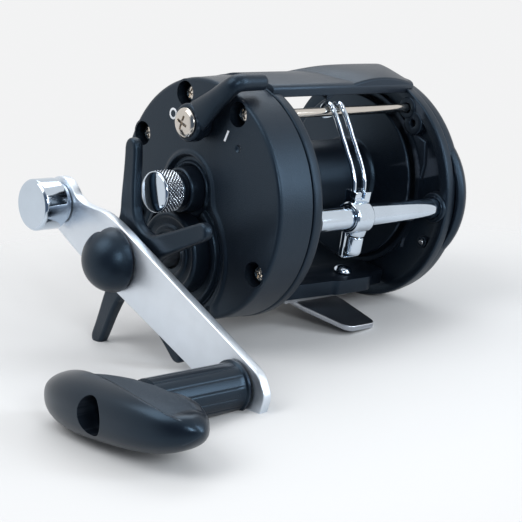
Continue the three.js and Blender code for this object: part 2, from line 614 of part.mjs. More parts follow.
part('anti_reverse_dog', dog(), brass);
part('inner_drag_washer', washer(-37.4, -38.0, 11.5, 3.2, HANDLE_AXIS, 20), fibre);
part('main_gear', cut(
  slab(gearShape(HANDLE_AXIS, MAIN_TEETH, MAIN_MODULE, 90), -38.3, -41.3),
  pin(-37, -42, 3.2, HANDLE_AXIS, 20),
), brass);
part('outer_drag_washer', washer(-41.6, -42.2, 10.5, 3.2, HANDLE_AXIS, 20), fibre);
part('pressure_washer', washer(-42.5, -43.4, 10.4, 3.2, HANDLE_AXIS, 20), steel);
part('spring_washer', turned([
  [-43.7, 4.2], [-44.6, 8.2], [-45.2, 8.2], [-44.3, 4.2],
], HANDLE_AXIS, 16), steel);
part('spacer_sleeve', washer(-45.6, -57.0, 4.5, 3.2, HANDLE_AXIS, 20), steel);
part('pinion', cut(
  joined(
    slab(gearShape(SPOOL_AXIS, PINION_TEETH, MAIN_MODULE, 270, true), -37.9, -43.3),
    pin(-36.0, -38.5, 3.6, SPOOL_AXIS, 20),
    pin(-34.9, -36.2, 5.0, SPOOL_AXIS, 20),
  ),
  pin(-34, -44, SHAFT_RADIUS + GAP, SPOOL_AXIS, 16),
), brass);

// Clutch: the lever turns a ramp that lifts the yoke, and the yoke slides the pinion out of the spool.
const YOKE_IN = 36.6;
const YOKE_OUT = 37.5;
const CLUTCH_THROW = 60;
const CLUTCH_LIFT = 2.0;
const [leverY, leverZ] = LEVER_AXIS;
const YOKE_TAIL = leverZ - 3.0;

function yoke() {
  const [y, z] = SPOOL_AXIS;
  const plate = outline([
    [y - 14.6, 2.6], [y - 7.6, -0.6], [y + 7.6, -0.6], [y + 14.6, 2.6], [y + 14.6, 7.4], [y + 7, 9.6],
    [leverY + 1.2, 11.5], [leverY + 1.2, YOKE_TAIL], [leverY - 1.2, YOKE_TAIL], [leverY - 1.2, 11.5],
    [y - 7, 9.6], [y - 14.6, 7.4],
  ]);
  const mouth = joined(
    pin(-36, -38, 3.95, SPOOL_AXIS, 20),
    block(-38, -36, y - 3.95, y + 3.95, -4, z),
  );
  const holes = YOKE_POSTS.map((axis) => pin(-36, -38, 1.5, axis, 12));
  return cut(slab(plate, -YOKE_IN, -YOKE_OUT), mouth, ...holes);
}

part('clutch_yoke', yoke(), steel);
YOKE_POSTS.forEach((axis, i) => {
  part(`yoke_spring_${i + 1}`, wire(new Coil(-38.1, -40.6, axis, 2.0, 3), 0.28, 20, 4), steel);
});

// One wedge of the ramp: a ring sector between two angles, as high as the ramp is at its end.
function rampWedge(start, end) {
  const height = 35.4 + (CLUTCH_LIFT * (end - 270)) / CLUTCH_THROW;
  const shape = new THREE.Shape();
  shape.absarc(leverY, leverZ, 5.4, radians(start), radians(end), false);
  shape.absarc(leverY, leverZ, 2.4, radians(end), radians(start), true);
  return slab(shape, -35.0, -height, 0, 2);
}

function clutchCam() {
  let cam = joined(
    pin(-32.9, -35.2, 1.5, LEVER_AXIS, 12),
    pin(-34.7, -35.5, 5.6, LEVER_AXIS, 24),
    pin(-35.2, -50.4, 2.0, LEVER_AXIS, 16),
  );
  for (let start = 270; start < 342; start += 12) cam = joined(cam, rampWedge(start, start + 12));
  return cam;
}

part('clutch_cam', clutchCam(), steel);

// Clutch lever: a round hub, a tapering arm, and a thumb stub that reaches back over the cover's rim.
const STUB_AXIS = [-11.0, 40.6];
const ELBOW_X = -48.4;

function clutchLever() {
  const hub = turned([
    [-COVER_FACE - GAP, 2.3], [-COVER_FACE - GAP, 5.8], [-51.4, 5.8], [-51.9, 5.3], [-51.9, 2.3],
  ], LEVER_AXIS, 20);
  const elbow = [ELBOW_X, ...STUB_AXIS];
  return joined(
    hub,
    bar([-48.6, ...polar(LEVER_AXIS, 3.2, 131)], elbow, 3.0, 2.7, 16),
    ball(elbow, 2.7),
    bar(elbow, [-38.6, ...STUB_AXIS], 2.7, 2.6, 16),
    ball([-38.6, ...STUB_AXIS], 2.6),
  ).subtract(pin(-45, -53, 2.3, LEVER_AXIS, 16));
}

part('clutch_lever', clutchLever(), graphite);
part('lever_screw', turned([
  [-50.7, 0], [-50.7, 1.6], [-52.2, 1.6], [-52.2, 4.6], [-52.9, 4.2], [-53.6, 2.6], [-53.8, 0],
], LEVER_AXIS, 20), nickel);

// Cast control: a knurled cap over the threaded boss, pressing a washer on the end of the shaft.
part('cast_control_cap', turned([
  [-51.9, 5.5], [-51.9, 6.7], [-58.2, 6.7], [-58.9, 6.0], [-59.4, 3.0], [-59.4, 0],
  [-57.0, 0], [-57.0, 5.5],
].reverse(), SPOOL_AXIS, 20), chrome);
part('cast_control_washer', pin(-55.8, -56.6, 3.4, SPOOL_AXIS, 16), fibre);

// Star drag: five arms whose ends step in towards the cover.
function starArm(angle) {
  const along = (radius, half, from, to) => slab(outline([
    [radius[0], -half[0]], [radius[1], -half[1]], [radius[1], half[1]], [radius[0], half[0]],
  ].map(([r, w]) => {
    const [y, z] = polar(HANDLE_AXIS, r, angle);
    return [y - w * Math.sin(radians(angle)), z + w * Math.cos(radians(angle))];
  })), from, to);
  return joined(
    along([3.5, 13], [6.2, 4.4], -61.1, -64.9),
    along([10, 33], [4.4, 2.9], -61.1, -64.9),
    along([28.5, STAR_REACH], [3.2, 2.7], -58.8, -62.6),
  );
}

function starDrag() {
  let star = turned([
    [-57.3, 3.2], [-57.3, 7.6], [-60.6, 9.4], [-65.2, 9.4], [-66.2, 7.0], [-66.2, 3.2],
  ], HANDLE_AXIS, 20);
  for (let i = 0; i < 5; i++) star = joined(star, starArm(STAR_ANGLE + 72 * i));
  return cut(star, pin(-56, -67, 3.2, HANDLE_AXIS, 16));
}

part('star_drag', starDrag(), graphite);

// Crank: the arm, its nut under a round cover, the counterweight, and the knob on its spindle.
function armPoint(along, across) {
  const [y, z] = polar(HANDLE_AXIS, along, ARM_TILT);
  return [y - across * Math.sin(radians(ARM_TILT)), z + across * Math.cos(radians(ARM_TILT))];
}

function handleArm() {
  const end = (centre, radius, from, to, steps) => Array.from({ length: steps + 1 }, (_, i) => {
    const angle = radians(from + ((to - from) * i) / steps);
    return armPoint(centre[0] + radius * Math.cos(angle), centre[1] + radius * Math.sin(angle));
  });
  const shape = outline([
    ...end([COUNTERWEIGHT_THROW, 0], 8.4, -78, 78, 10),
    armPoint(12, 9.0), armPoint(-2, 9.3), armPoint(-50, 9.2),
    ...end([-65.6, 0.8], 8.3, 95, 265, 10),
    armPoint(-50, -7.8), armPoint(-12, -8.8), armPoint(12, -9.6),
  ]);
  return cut(
    slab(shape, -ARM_INNER, -ARM_OUTER, 0.5),
    pin(-66, -71, 2.9, HANDLE_AXIS, 16),
    pin(-66, -71, 2.8, KNOB_AXIS, 16),
    pin(-66, -71, 2.8, COUNTERWEIGHT_AXIS, 16),
  );
}

part('handle_arm', handleArm(), aluminium);
part('handle_nut', washer(-ARM_OUTER - GAP, -74.0, 5.4, 3.3, HANDLE_AXIS, 6), steel);

function nutCover() {
  const profile = [[-ARM_OUTER - GAP, 6.4], [-ARM_OUTER - GAP, 10.0]];
  for (let angle = 15; angle < 90; angle += 15) {
    profile.push([-ARM_OUTER - GAP - 9.8 * Math.sin(radians(angle)), 10.0 * Math.cos(radians(angle))]);
  }
  profile.push([-ARM_OUTER - GAP - 9.8, 0], [-75.4, 0], [-75.4, 6.4]);
  return turned([...profile].reverse(), HANDLE_AXIS, 20);
}

part('nut_cover', nutCover(), graphite);
part('counterweight', turned([
  [-67.3, 0], [-67.3, 2.5], [-ARM_OUTER - GAP, 2.5], [-ARM_OUTER - GAP, 6.5], [-72.3, 6.5], [-72.5, 8.15],
  [-80.3, 8.15], [-80.9, 7.6], [-80.9, 0],
], COUNTERWEIGHT_AXIS, 20), chrome);
part('knob_spindle', turned([
  [-66.3, 0], [-66.3, 2.5], [-111.2, 2.5], [-111.2, 4.4], [-113.0, 4.2], [-113.6, 0],
], KNOB_AXIS, 16), steel);
part('knob_sleeve', turned([
  [-ARM_OUTER - 0.5, 2.8], [-ARM_OUTER - 0.5, 7.7], [-72.0, 7.7], [-72.0, 7.0], [-103, 7.0], [-103, 5.0],
  [-110.8, 5.0], [-110.8, 2.8],
], KNOB_AXIS, 16), blackRubber);

function knobGrip() {
  const geometry = new THREE.SphereGeometry(1, 20, 12).rotateX(Math.PI / 2);
  geometry.scale(GRIP_HALF_DEPTH, GRIP_HALF_DEPTH, GRIP_HALF_LENGTH);
  const corners = geometry.getAttribute('position');
  for (let i = 0; i < corners.count; i++) {
    const share = corners.getZ(i) / GRIP_HALF_LENGTH;
    const waist = Math.sqrt(Math.max(0, 1 - share * share)) + 1e-9;
    const fuller = Math.pow(Math.max(0, 1 - Math.abs(share) ** 2.6), 0.55) / waist;
    corners.setX(i, corners.getX(i) * fuller);
    corners.setY(i, corners.getY(i) * fuller);
  }
  geometry.rotateX(-Math.PI / 2 + radians(GRIP_TILT)).translate(GRIP_X, ...KNOB_AXIS);
  return cut(
    solid(geometry),
    pin(-95, -103.3, 7.3, KNOB_AXIS, 16),
    pin(-95, -125, 5.4, KNOB_AXIS, 16),
  );
}

part('knob_grip', knobGrip(), blackRubber);

export default model;
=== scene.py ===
"""The looks of a trolling reel with a star drag and a travelling line guide.

Meshes are drawn in millimetres about the centre of the round side plates, then moved to the row frame.
"""

import json
import math

import bmesh
import bpy
import numpy as np
from mathutils import Matrix, Vector
from mathutils.kdtree import KDTree


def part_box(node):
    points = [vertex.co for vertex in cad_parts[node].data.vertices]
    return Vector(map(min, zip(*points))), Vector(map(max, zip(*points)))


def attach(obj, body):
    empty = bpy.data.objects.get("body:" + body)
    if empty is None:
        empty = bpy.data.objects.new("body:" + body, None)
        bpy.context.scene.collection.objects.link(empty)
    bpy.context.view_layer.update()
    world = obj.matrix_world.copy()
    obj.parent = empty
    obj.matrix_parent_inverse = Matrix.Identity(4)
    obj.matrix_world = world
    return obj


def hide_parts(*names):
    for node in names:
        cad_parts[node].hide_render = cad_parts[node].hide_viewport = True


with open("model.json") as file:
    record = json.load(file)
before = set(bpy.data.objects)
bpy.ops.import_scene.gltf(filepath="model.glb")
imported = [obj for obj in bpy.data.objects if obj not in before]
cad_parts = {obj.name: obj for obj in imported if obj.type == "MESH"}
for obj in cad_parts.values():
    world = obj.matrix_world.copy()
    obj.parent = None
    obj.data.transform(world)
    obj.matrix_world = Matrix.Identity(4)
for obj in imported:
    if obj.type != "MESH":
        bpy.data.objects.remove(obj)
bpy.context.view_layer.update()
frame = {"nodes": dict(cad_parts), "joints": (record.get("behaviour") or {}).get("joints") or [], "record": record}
record = frame["record"]
joint = {j["name"]: j for j in frame["joints"]}


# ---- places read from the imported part

def box_mm(node):
    low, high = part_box(node)
    return np.array(low) * 1000, np.array(high) * 1000


cover_low, cover_high = box_mm("handle_side_cover")
UP = (cover_low[2] + cover_high[2]) / 2


def axis_of(name):
    _, y, z = joint[name]["pos_m"]
    return np.array([y * 1000, z * 1000 - UP])


def centre_of(node):
    low, high = box_mm(node)
    mid = (low + high) / 2
    return np.array([mid[1], mid[2] - UP])


def x_span(node):
    low, high = box_mm(node)
    return low[0], high[0]


SPOOL = axis_of("spool_spin")
HANDLE = axis_of("crank_turn")
KNOB = axis_of("grip_spin")
LEVER = axis_of("clutch_lever_turn")
WORM = axis_of("worm_spin")
GUIDE = centre_of("guide_bar")
WEIGHT = centre_of("counterweight")
COVER_SEAM = x_span("handle_side_cover")[1]
COVER_DEPTH = 13.1
COVER_FACE = COVER_SEAM - COVER_DEPTH
RING_OUT = x_span("frame")[1]
RING_THICK = 3.65
RING_IN = RING_OUT - RING_THICK
RING_R = 38.3
SPOOL_R = 28.0
GUIDE_R = 1.45
TUBE_R, TUBE_BORE = 3.45, 2.75
CARRIAGE_X = joint["pawl_swivel"]["pos_m"][0] * 1000
ARM_X = x_span("handle_arm")
ARM_FACE = ARM_X[0] - 0.3
ARM_DIRECTION = (WEIGHT - KNOB) / np.linalg.norm(WEIGHT - KNOB)
ARM_ACROSS = np.array([-ARM_DIRECTION[1], ARM_DIRECTION[0]])
COVER_SCREWS = [centre_of(f"cover_screw_{i}") for i in range(1, 6)]
LEFT_SCREWS = [centre_of(f"left_screw_{i}") for i in range(1, 4)]
CLICK_TRAVEL = joint["clicker_slide"]["range_m"][1] * 1000


# ---- materials

def add_node(tree, kind, **values):
    """A shader node with its named inputs set. An underscore in a name stands for a space."""
    node = tree.nodes.new("ShaderNode" + kind)
    for name, value in values.items():
        node.inputs[name.replace("_", " ")].default_value = value
    return node


def node_material(name, colour, metallic, rough, grain, grain_size, rough_change=0.06,
                  wear_and_highlight=None, wear_and_highlight_amount=0.0, specular=0.5, sheen=(1.0, 1.0, 1.0), scratches=0.0,
                  edges=(0.53, 0.62)):
    """A principled material with fine grain, slow roughness variation and lighter edges found by pointiness, which
    are worn paint on the black paint and painted highlights elsewhere.
    """
    mat = bpy.data.materials.new(name)
    mat.use_nodes = True
    tree, link = mat.node_tree, mat.node_tree.links.new
    shader = tree.nodes["Principled BSDF"]
    shader.inputs["Metallic"].default_value = metallic
    shader.inputs["Specular IOR Level"].default_value = specular
    shader.inputs["Specular Tint"].default_value = (*sheen, 1.0)
    place = add_node(tree, "TexCoord").outputs["Object"]

    slow = add_node(tree, "TexNoise", Scale=90.0, Detail=4.0)
    link(place, slow.inputs["Vector"])
    smoothest, roughest = max(0.02, rough - rough_change), rough + rough_change
    rough_map = add_node(tree, "MapRange", To_Min=smoothest, To_Max=roughest)
    link(slow.outputs["Fac"], rough_map.inputs["Value"])
    link(rough_map.outputs["Result"], shader.inputs["Roughness"])

    shade = add_node(tree, "MapRange", To_Min=0.88, To_Max=1.1)
    link(slow.outputs["Fac"], shade.inputs["Value"])
    tint = add_node(tree, "MixRGB", Fac=1.0, Color1=(*colour, 1.0))
    tint.blend_type = "MULTIPLY"
    link(shade.outputs["Result"], tint.inputs["Color2"])
    colour_out = tint.outputs["Color"]
    # The edge mix: worn paint on the black paint; a painted highlight on the sharp edges of graphite and rubber
    # and on the knurl's crests.
    if wear_and_highlight:
        edge = add_node(tree, "MapRange", From_Min=edges[0], From_Max=edges[1], To_Max=wear_and_highlight_amount)
        link(add_node(tree, "NewGeometry").outputs["Pointiness"], edge.inputs["Value"])
        wear_and_highlight_mix = add_node(tree, "MixRGB", Color2=(*wear_and_highlight, 1.0))
        link(edge.outputs["Result"], wear_and_highlight_mix.inputs["Fac"])
        link(colour_out, wear_and_highlight_mix.inputs["Color1"])
        colour_out = wear_and_highlight_mix.outputs["Color"]
    link(colour_out, shader.inputs["Base Color"])

    fine = add_node(tree, "TexNoise", Scale=grain_size, Detail=3.0)
    link(place, fine.inputs["Vector"])
    height = fine.outputs["Fac"]
    if scratches:
        stretch = add_node(tree, "Mapping", Scale=(60.0, 2200.0, 2200.0))
        link(place, stretch.inputs["Vector"])
        lines = add_node(tree, "TexNoise", Scale=1.0)
        link(stretch.outputs["Vector"], lines.inputs["Vector"])
        blend = add_node(tree, "MixRGB", Fac=scratches)
        link(height, blend.inputs["Color1"])
        link(lines.outputs["Fac"], blend.inputs["Color2"])
        height = blend.outputs["Color"]
    bump = add_node(tree, "Bump", Strength=grain, Distance=0.0001)
    link(height, bump.inputs["Height"])
    link(bump.outputs["Normal"], shader.inputs["Normal"])
    return mat


BLACK = (0.0042, 0.0062, 0.0102)
# Painted highlight: a lighter blue-grey that the graphite and rubber take on their sharp edges, where the lamps
# catch them.
PAINTED_EDGE_HIGHLIGHT = (0.07, 0.085, 0.11)
COOL = (0.46, 0.72, 1.0)
MATERIALS = {
    "graphite": node_material("graphite", BLACK, 0.0, 0.36, 0.6, 2600,
                              wear_and_highlight=PAINTED_EDGE_HIGHLIGHT, wear_and_highlight_amount=0.5, specular=0.47, sheen=COOL),
    "black_rubber": node_material("black_rubber", (0.0042, 0.0058, 0.0092), 0.0, 0.30, 0.22, 2200,
                                  wear_and_highlight=PAINTED_EDGE_HIGHLIGHT, wear_and_highlight_amount=0.2, specular=0.47, sheen=COOL),
    "chrome": node_material("chrome", (0.58, 0.66, 0.75), 1.0, 0.09, 0.05, 900, 0.025, scratches=0.3),
    "nickel": node_material("nickel", (0.62, 0.58, 0.53), 1.0, 0.16, 0.08, 1200, 0.04, scratches=0.4),
    "steel": node_material("steel", (0.52, 0.54, 0.57), 1.0, 0.30, 0.2, 1800, 0.06, scratches=0.6),
    "brass": node_material("brass", (0.72, 0.52, 0.22), 1.0, 0.28, 0.2, 1500, 0.05, scratches=0.4),
    "aluminium": node_material("aluminium", (0.70, 0.755, 0.82), 1.0, 0.40, 0.22, 2400, 0.05),
    "black_paint": node_material("black_paint", (0.014, 0.017, 0.022), 0.1, 0.36, 0.25, 1500,
                                 wear_and_highlight=(0.5, 0.52, 0.55), wear_and_highlight_amount=0.6),
    "fibre": node_material("fibre", (0.06, 0.055, 0.05), 0.0, 0.85, 0.7, 1600),
    "nylon": node_material("nylon", (0.72, 0.70, 0.63), 0.0, 0.45, 0.2, 1200),
}
COVER_GRAPHITE = node_material("cover_graphite", BLACK, 0.0, 0.35, 0.7, 2600, specular=0.5, sheen=COOL)
# Painted shade and highlight: the knurl's chrome is dark in its valleys, as shade, and bright on its crests, as a
# highlight.
KNURL = node_material("knurled_chrome", (0.03, 0.035, 0.045), 1.0, 0.14, 0.05, 900, 0.03,
                      wear_and_highlight=(0.74, 0.80, 0.87), wear_and_highlight_amount=1.0, edges=(0.47, 0.53))
BARE_EDGE = node_material("bare_edge", (0.55, 0.58, 0.63), 1.0, 0.30, 0.35, 900, 0.08, scratches=0.5)
WHITE_INK = node_material("white_ink", (0.82, 0.84, 0.87), 0.0, 0.55, 0.15, 1500)
STIPPLE = node_material("stipple", (0.014, 0.018, 0.024), 0.0, 0.55, 1.0, 1100, specular=0.5, sheen=COOL)


# ---- mesh helpers

class Shell:
    """Vertices and faces in millimetres, (x, y, z), about the plates' centre."""

    def __init__(self, verts, faces):
        self.verts = [tuple(float(c) for c in v) for v in verts]
        self.faces = [tuple(f) for f in faces]


def together(*shells):
    verts, faces = [], []
    for shell in shells:
        shift = len(verts)
        verts += shell.verts
        faces += [tuple(i + shift for i in f) for f in shell.faces]
    return Shell(verts, faces)


def rounded(points, radius, closed=False, steps=4):
    """A polyline with each corner replaced by an arc-like curve. radius is one size, or one per corner."""
    count = len(points)
    sizes = radius if hasattr(radius, "__len__") else [radius] * count
    result = []
    for i, point in enumerate(points):
        p = np.array(point, float)
        if not closed and i in (0, count - 1):
            result.append(tuple(p))
            continue
        before, after = np.array(points[i - 1], float), np.array(points[(i + 1) % count], float)
        room = 0.49 * min(np.linalg.norm(before - p), np.linalg.norm(after - p))
        cut = min(sizes[i], room)
        if cut < 1e-4:
            result.append(tuple(p))
            continue
        start = p + (before - p) / np.linalg.norm(before - p) * cut
        end = p + (after - p) / np.linalg.norm(after - p) * cut
        for k in range(steps + 1):
            t = k / steps
            result.append(tuple((1 - t) ** 2 * start + 2 * t * (1 - t) * p + t * t * end))
    return result


def grid_faces(rows, columns, wrap_rows=False, wrap_columns=True):
    faces = []
    for i in range(rows if wrap_rows else rows - 1):
        for j in range(columns if wrap_columns else columns - 1):
            a, b = i * columns + j, i * columns + (j + 1) % columns
            c, d = ((i + 1) % rows) * columns + (j + 1) % columns, ((i + 1) % rows) * columns + j
            faces.append((a, b, c, d))
    return faces


def turned(profile, axis, sides=96, closed=False, radius=None):
    """A turned shell about an axis along X, from a profile of (x, r). radius(angle, x, r) may change r."""
    rows = [p for p in profile if p[1] > 1e-6]
    verts = []
    for x, r in rows:
        for j in range(sides):
            angle = 2 * math.pi * j / sides
            rr = radius(angle, x, r) if radius else r
            verts.append((x, axis[0] + rr * math.cos(angle), axis[1] + rr * math.sin(angle)))
    faces = grid_faces(len(rows), sides, wrap_rows=closed)
    if not closed:
        for end, row in ((profile[0], 0), (profile[-1], len(rows) - 1)):
            if end[1] <= 1e-6:
                verts.append((end[0], axis[0], axis[1]))
                middle = len(verts) - 1
                first = row * sides
                ring = [(first + j, first + (j + 1) % sides, middle) for j in range(sides)]
                faces += ring if row else [f[::-1] for f in ring]
    return Shell(verts, faces)


def knob_turned(profile, axis, radius=0.4, sides=96, steps=4):
    """A turned body with soft edges, from an open profile, which mostly starts and ends on the axis."""
    return turned(rounded(profile, radius, steps=steps), axis, sides)


def ring_turned(profile, axis, radius=0.4, sides=96, steps=3):
    """As knob_turned, from a profile that closes on itself round a bore."""
    return turned(rounded(profile, radius, closed=True, steps=steps), axis, sides, closed=True)


def prism(outline, x0, x1):
    """A flat part: an outline of (y, z) between two values of x."""
    count = len(outline)
    verts = [(x0, y, z) for y, z in outline] + [(x1, y, z) for y, z in outline]
    faces = [(i, (i + 1) % count, count + (i + 1) % count, count + i) for i in range(count)]
    return Shell(verts, faces + [tuple(range(count))[::-1], tuple(range(count, 2 * count))])


def plan_prism(outline, z0, z1):
    """As prism, but an outline of (x, y) between two heights."""
    flat = prism(outline, z0, z1)
    return Shell([(b, c, a) for a, b, c in flat.verts], flat.faces)


def cuboid(x0, x1, y0, y1, z0, z1):
    return prism([(y0, z0), (y1, z0), (y1, z1), (y0, z1)], x0, x1)


ROD_TURN = 0.013


def rod(x0, x1, radius, axis, sides=48):
    """A plain cylinder, turned a little off the axes so that its edges fall between a grid's columns."""
    body = turned([(x0, 0), (x0, radius), (x1, radius), (x1, 0)], (0, 0), sides)
    c, s = math.cos(ROD_TURN), math.sin(ROD_TURN)
    return Shell([(x, axis[0] + y * c - z * s, axis[1] + y * s + z * c) for x, y, z in body.verts],
                 body.faces)


def upright(profile, x, y, radius=0.3, sides=64):
    """A turned body about a vertical axis, from a profile of (z, radius)."""
    body = turned(rounded(profile, radius), (0, 0), sides)
    return Shell([(x + b, y + c, a) for a, b, c in body.verts], body.faces)


def sweep(path, widths, depths, sides=20, depth_axis=(1, 0, 0), twist=None):
    """A smooth bar along a path, with an oval section that changes along it.

    twist(share of the length, angle) gives how much the section swells there.
    """
    path = [np.array(p, float) for p in path]
    count = len(path)
    verts = []
    for i, p in enumerate(path):
        ahead = path[min(i + 1, count - 1)] - path[max(i - 1, 0)]
        ahead /= np.linalg.norm(ahead)
        hint = np.array(depth_axis, float)
        if i:
            hint = last
        depth = hint - ahead * (hint @ ahead)
        depth /= np.linalg.norm(depth)
        last = depth
        width = np.cross(ahead, depth)
        for j in range(sides):
            a = 2 * math.pi * j / sides
            swell = 1 + (twist(i / (count - 1), a) if twist else 0)
            across, deep = widths[i] * math.cos(a), depths[i] * math.sin(a)
            verts.append(p + (width * across + depth * deep) * swell)
    faces = grid_faces(count, sides)
    faces += [tuple(range(sides))[::-1], tuple(range((count - 1) * sides, count * sides))]
    return Shell(verts, faces)


def smooth_path(points, count):
    """Catmull-Rom points through the given ones."""
    p = [np.array(q, float) for q in points]
    p = [2 * p[0] - p[1], *p, 2 * p[-1] - p[-2]]
    spans = len(p) - 3
    result = []
    for k in range(count):
        u = k / (count - 1) * spans
        i = min(int(u), spans - 1)
        t = u - i
        a, b, c, d = p[i:i + 4]
        result.append(0.5 * (2 * b + (c - a) * t + (2 * a - 5 * b + 4 * c - d) * t * t
                             + (3 * b - a - 3 * c + d) * t ** 3))
    return result


def turned_point(centre, radius, degrees):
    a = math.radians(degrees)
    return np.array(centre) + radius * np.array([math.cos(a), math.sin(a)])


def step(value, low, high):
    """0 at low, 1 at high and smooth between, for a number or an array."""
    t = np.clip((value - low) / (high - low), 0, 1)
    return t * t * (3 - 2 * t)


MERGE = 0.004


def bare_object(name, shell, merge=False):
    """An object, still in millimetres. merge joins vertices that fall together, as at a pole."""
    mesh = bpy.data.meshes.new(name)
    mesh.from_pydata(shell.verts, [], shell.faces)
    mesh.validate()
    work = bmesh.new()
    work.from_mesh(mesh)
    if merge:
        bmesh.ops.remove_doubles(work, verts=work.verts, dist=MERGE)
    bmesh.ops.recalc_face_normals(work, faces=work.faces)
    work.to_mesh(mesh)
    work.free()
    obj = bpy.data.objects.new(name, mesh)
    bpy.context.scene.collection.objects.link(obj)
    return obj


def settle(obj):
    """Applies an object's modifiers."""
    graph = bpy.context.evaluated_depsgraph_get()
    mesh = bpy.data.meshes.new_from_object(obj.evaluated_get(graph))
    obj.modifiers.clear()
    obj.data = mesh
    return obj


def carve(obj, cutters):
    """Cuts closed shells from an object."""
    tools = [bare_object(f"cutter_{i}", c) for i, c in enumerate(cutters)]
    for tool in tools:
        change = obj.modifiers.new("cut", "BOOLEAN")
        change.object = tool
        change.operation = "DIFFERENCE"
        change.solver = "EXACT"
    settle(obj)
    for tool in tools:
        bpy.data.objects.remove(tool)
    work = bmesh.new()
    work.from_mesh(obj.data)
    bmesh.ops.remove_doubles(work, verts=work.verts, dist=MERGE)
    bmesh.ops.dissolve_degenerate(work, edges=work.edges, dist=MERGE / 2)
    work.to_mesh(obj.data)
    work.free()
    return obj


def soften(obj, width, segments=3, angle=35):
    """Rounds the edges that are sharper than an angle."""
    change = obj.modifiers.new("soft_edges", "BEVEL")
    change.width = width
    change.segments = segments
    change.limit_method = "ANGLE"
    change.angle_limit = math.radians(angle)
    return settle(obj)


def blend_objects(name, objs):
    """One object that holds the meshes of several, which go."""
    work = bmesh.new()
    for obj in objs:
        work.from_mesh(obj.data)
    mesh = bpy.data.meshes.new(name)
    work.to_mesh(mesh)
    work.free()
    for obj in objs:
        bpy.data.objects.remove(obj)
    joined = bpy.data.objects.new(name, mesh)
    bpy.context.scene.collection.objects.link(joined)
    return joined


TO_ROW = Matrix.Translation((0, 0, UP / 1000)) @ Matrix.Scale(0.001, 4)


def piece(obj, body, slot, *nodes, material=None, sharp=38):
    """Moves a finished mesh to the row frame and ties it to its body."""
    obj.data.transform(TO_ROW)
    obj.data.polygons.foreach_set("use_smooth", [True] * len(obj.data.polygons))
    obj.data.set_sharp_from_angle(angle=math.radians(sharp))
    if material is None and slot:
        material = MATERIALS[slot]
    obj.data.materials.clear()
    obj.data.materials.append(material)
    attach(obj, body)
    if nodes:
        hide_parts(*nodes)
    return obj


def shell_piece(name, shell, body, slot, *nodes, **more):
    return piece(bare_object(name, shell), body, slot, *nodes, **more)


def phillips(x, axis, reach, depth, width, side=-1):
    """Two crossed bars that cut a cross recess into a head whose top is at x, facing the given side."""
    y, z = axis
    out, root = x + side, x - side * depth
    return [cuboid(out, root, y - a, y + a, z - b, z + b) for a, b in ((reach, width), (width, reach))]


def turn_about(obj, axis, degrees):
    """Turns an object about an axis along X."""
    obj.data.transform(Matrix.Translation((0, *axis)) @ Matrix.Rotation(math.radians(degrees), 4, "X")
                       @ Matrix.Translation((0, *-axis)))


# ---- frame

BAR_TOP = 39.1


def make_hump():
    """The raised saddle on the top bar: a crown between a ramp, a tilted front facet and an end slope."""
    columns, rows, blend = 150, 70, 0.28
    front, rear = -10.45, 11.5
    xs, ys = np.linspace(-8.0, RING_OUT - 0.35, columns), np.linspace(front, rear, rows)
    verts = []
    for y in ys:
        for x in xs:
            ramp = 38.7 + 0.29 * (x + 3.0)
            crown = 41.55 - 0.004 * (x - 19) ** 2
            facet = 40.45 + 0.18 * (y - front) - 0.010 * (x - 17) ** 2
            end = 39.0 + 0.95 * (RING_OUT - x)
            back = 41.7 - 0.05 * max(0.0, y - 1.0) ** 2
            z = -blend * math.log(sum(math.exp(-h / blend) for h in (ramp, crown, facet, end, back)))
            z -= 0.5 * (1 - step(y, front, front + 0.75)) ** 2
            verts.append((x, y, z))
    verts += [(x, y, BAR_TOP - 2.5) for x, y, _ in verts]
    count = rows * columns
    top = grid_faces(rows, columns, wrap_columns=False)
    faces = top + [tuple(count + i for i in f[::-1]) for f in top]
    rim = [*range(columns)] + [columns * (i + 1) - 1 for i in range(1, rows)]
    rim += [count - 1 - i for i in range(1, columns)] + [columns * i for i in range(rows - 2, 0, -1)]
    faces += [(a, b, b + count, a + count) for a, b in zip(rim, rim[1:] + rim[:1])]
    return bare_object("hump", Shell(verts, faces))


def make_ring(side):
    """One side plate: a disc with a hole for the spool's flange and, on the far side, a sunk inner face."""
    solid = bare_object("ring", knob_turned([
        (side * RING_IN, 0), (side * RING_IN, RING_R), (side * RING_OUT, RING_R), (side * RING_OUT, 0),
    ], (0, 0), 0.8, 160))
    cutters = [
        rod(side * 20, side * 40, 24.0, SPOOL, 128),
        rod(side * (RING_IN - 2), side * (RING_IN + 1.2), SPOOL_R + 0.7, SPOOL, 128),
    ]
    if side > 0:
        hollow = bare_object("hollow", rod(RING_IN - 1, RING_IN + 1.9, 34.9, (0, 0), 160))
        carve(hollow, [rod(RING_IN - 3, RING_IN + 4, 30.4, SPOOL, 128)])
        mesh = hollow.data
        cutters.append(Shell([v.co for v in mesh.vertices], [f.vertices for f in mesh.polygons]))
        bpy.data.objects.remove(hollow)
    carve(solid, cutters)
    return soften(solid, 0.35, 2, 50)


def make_bosses(screw_boss, dowel):
    """The raised rings on the plates' inner faces round the bars' ends, a screw hole and a dowel."""
    x = RING_IN
    rings = [
        ring_turned([(x + 2, 1.2), (x + 2, 4.2), (x - 0.3, 3.8), (x - 0.3, 1.2)], screw_boss, 0.4, 64),
        ring_turned([(x + 2, 0.9), (x + 2, 2.0), (x + 0.6, 1.8), (x + 0.6, 0.9)], dowel, 0.2, 40),
    ]
    for side in (-1, 1):
        for axis, bore, foot, top, rise, edge, sides in ((GUIDE, 1.6, 3.9, 3.5, 0.5, 0.35, 64),
                                                         (WORM, 3.5, 5.4, 4.9, 0.8, 0.4, 72)):
            base, face = side * (x + 2), side * (x - rise)
            profile = [(base, bore), (base, foot), (face, top), (face, bore)]
            rings.append(ring_turned(profile, axis, edge, sides))
    return bare_object("bosses", together(*rings))


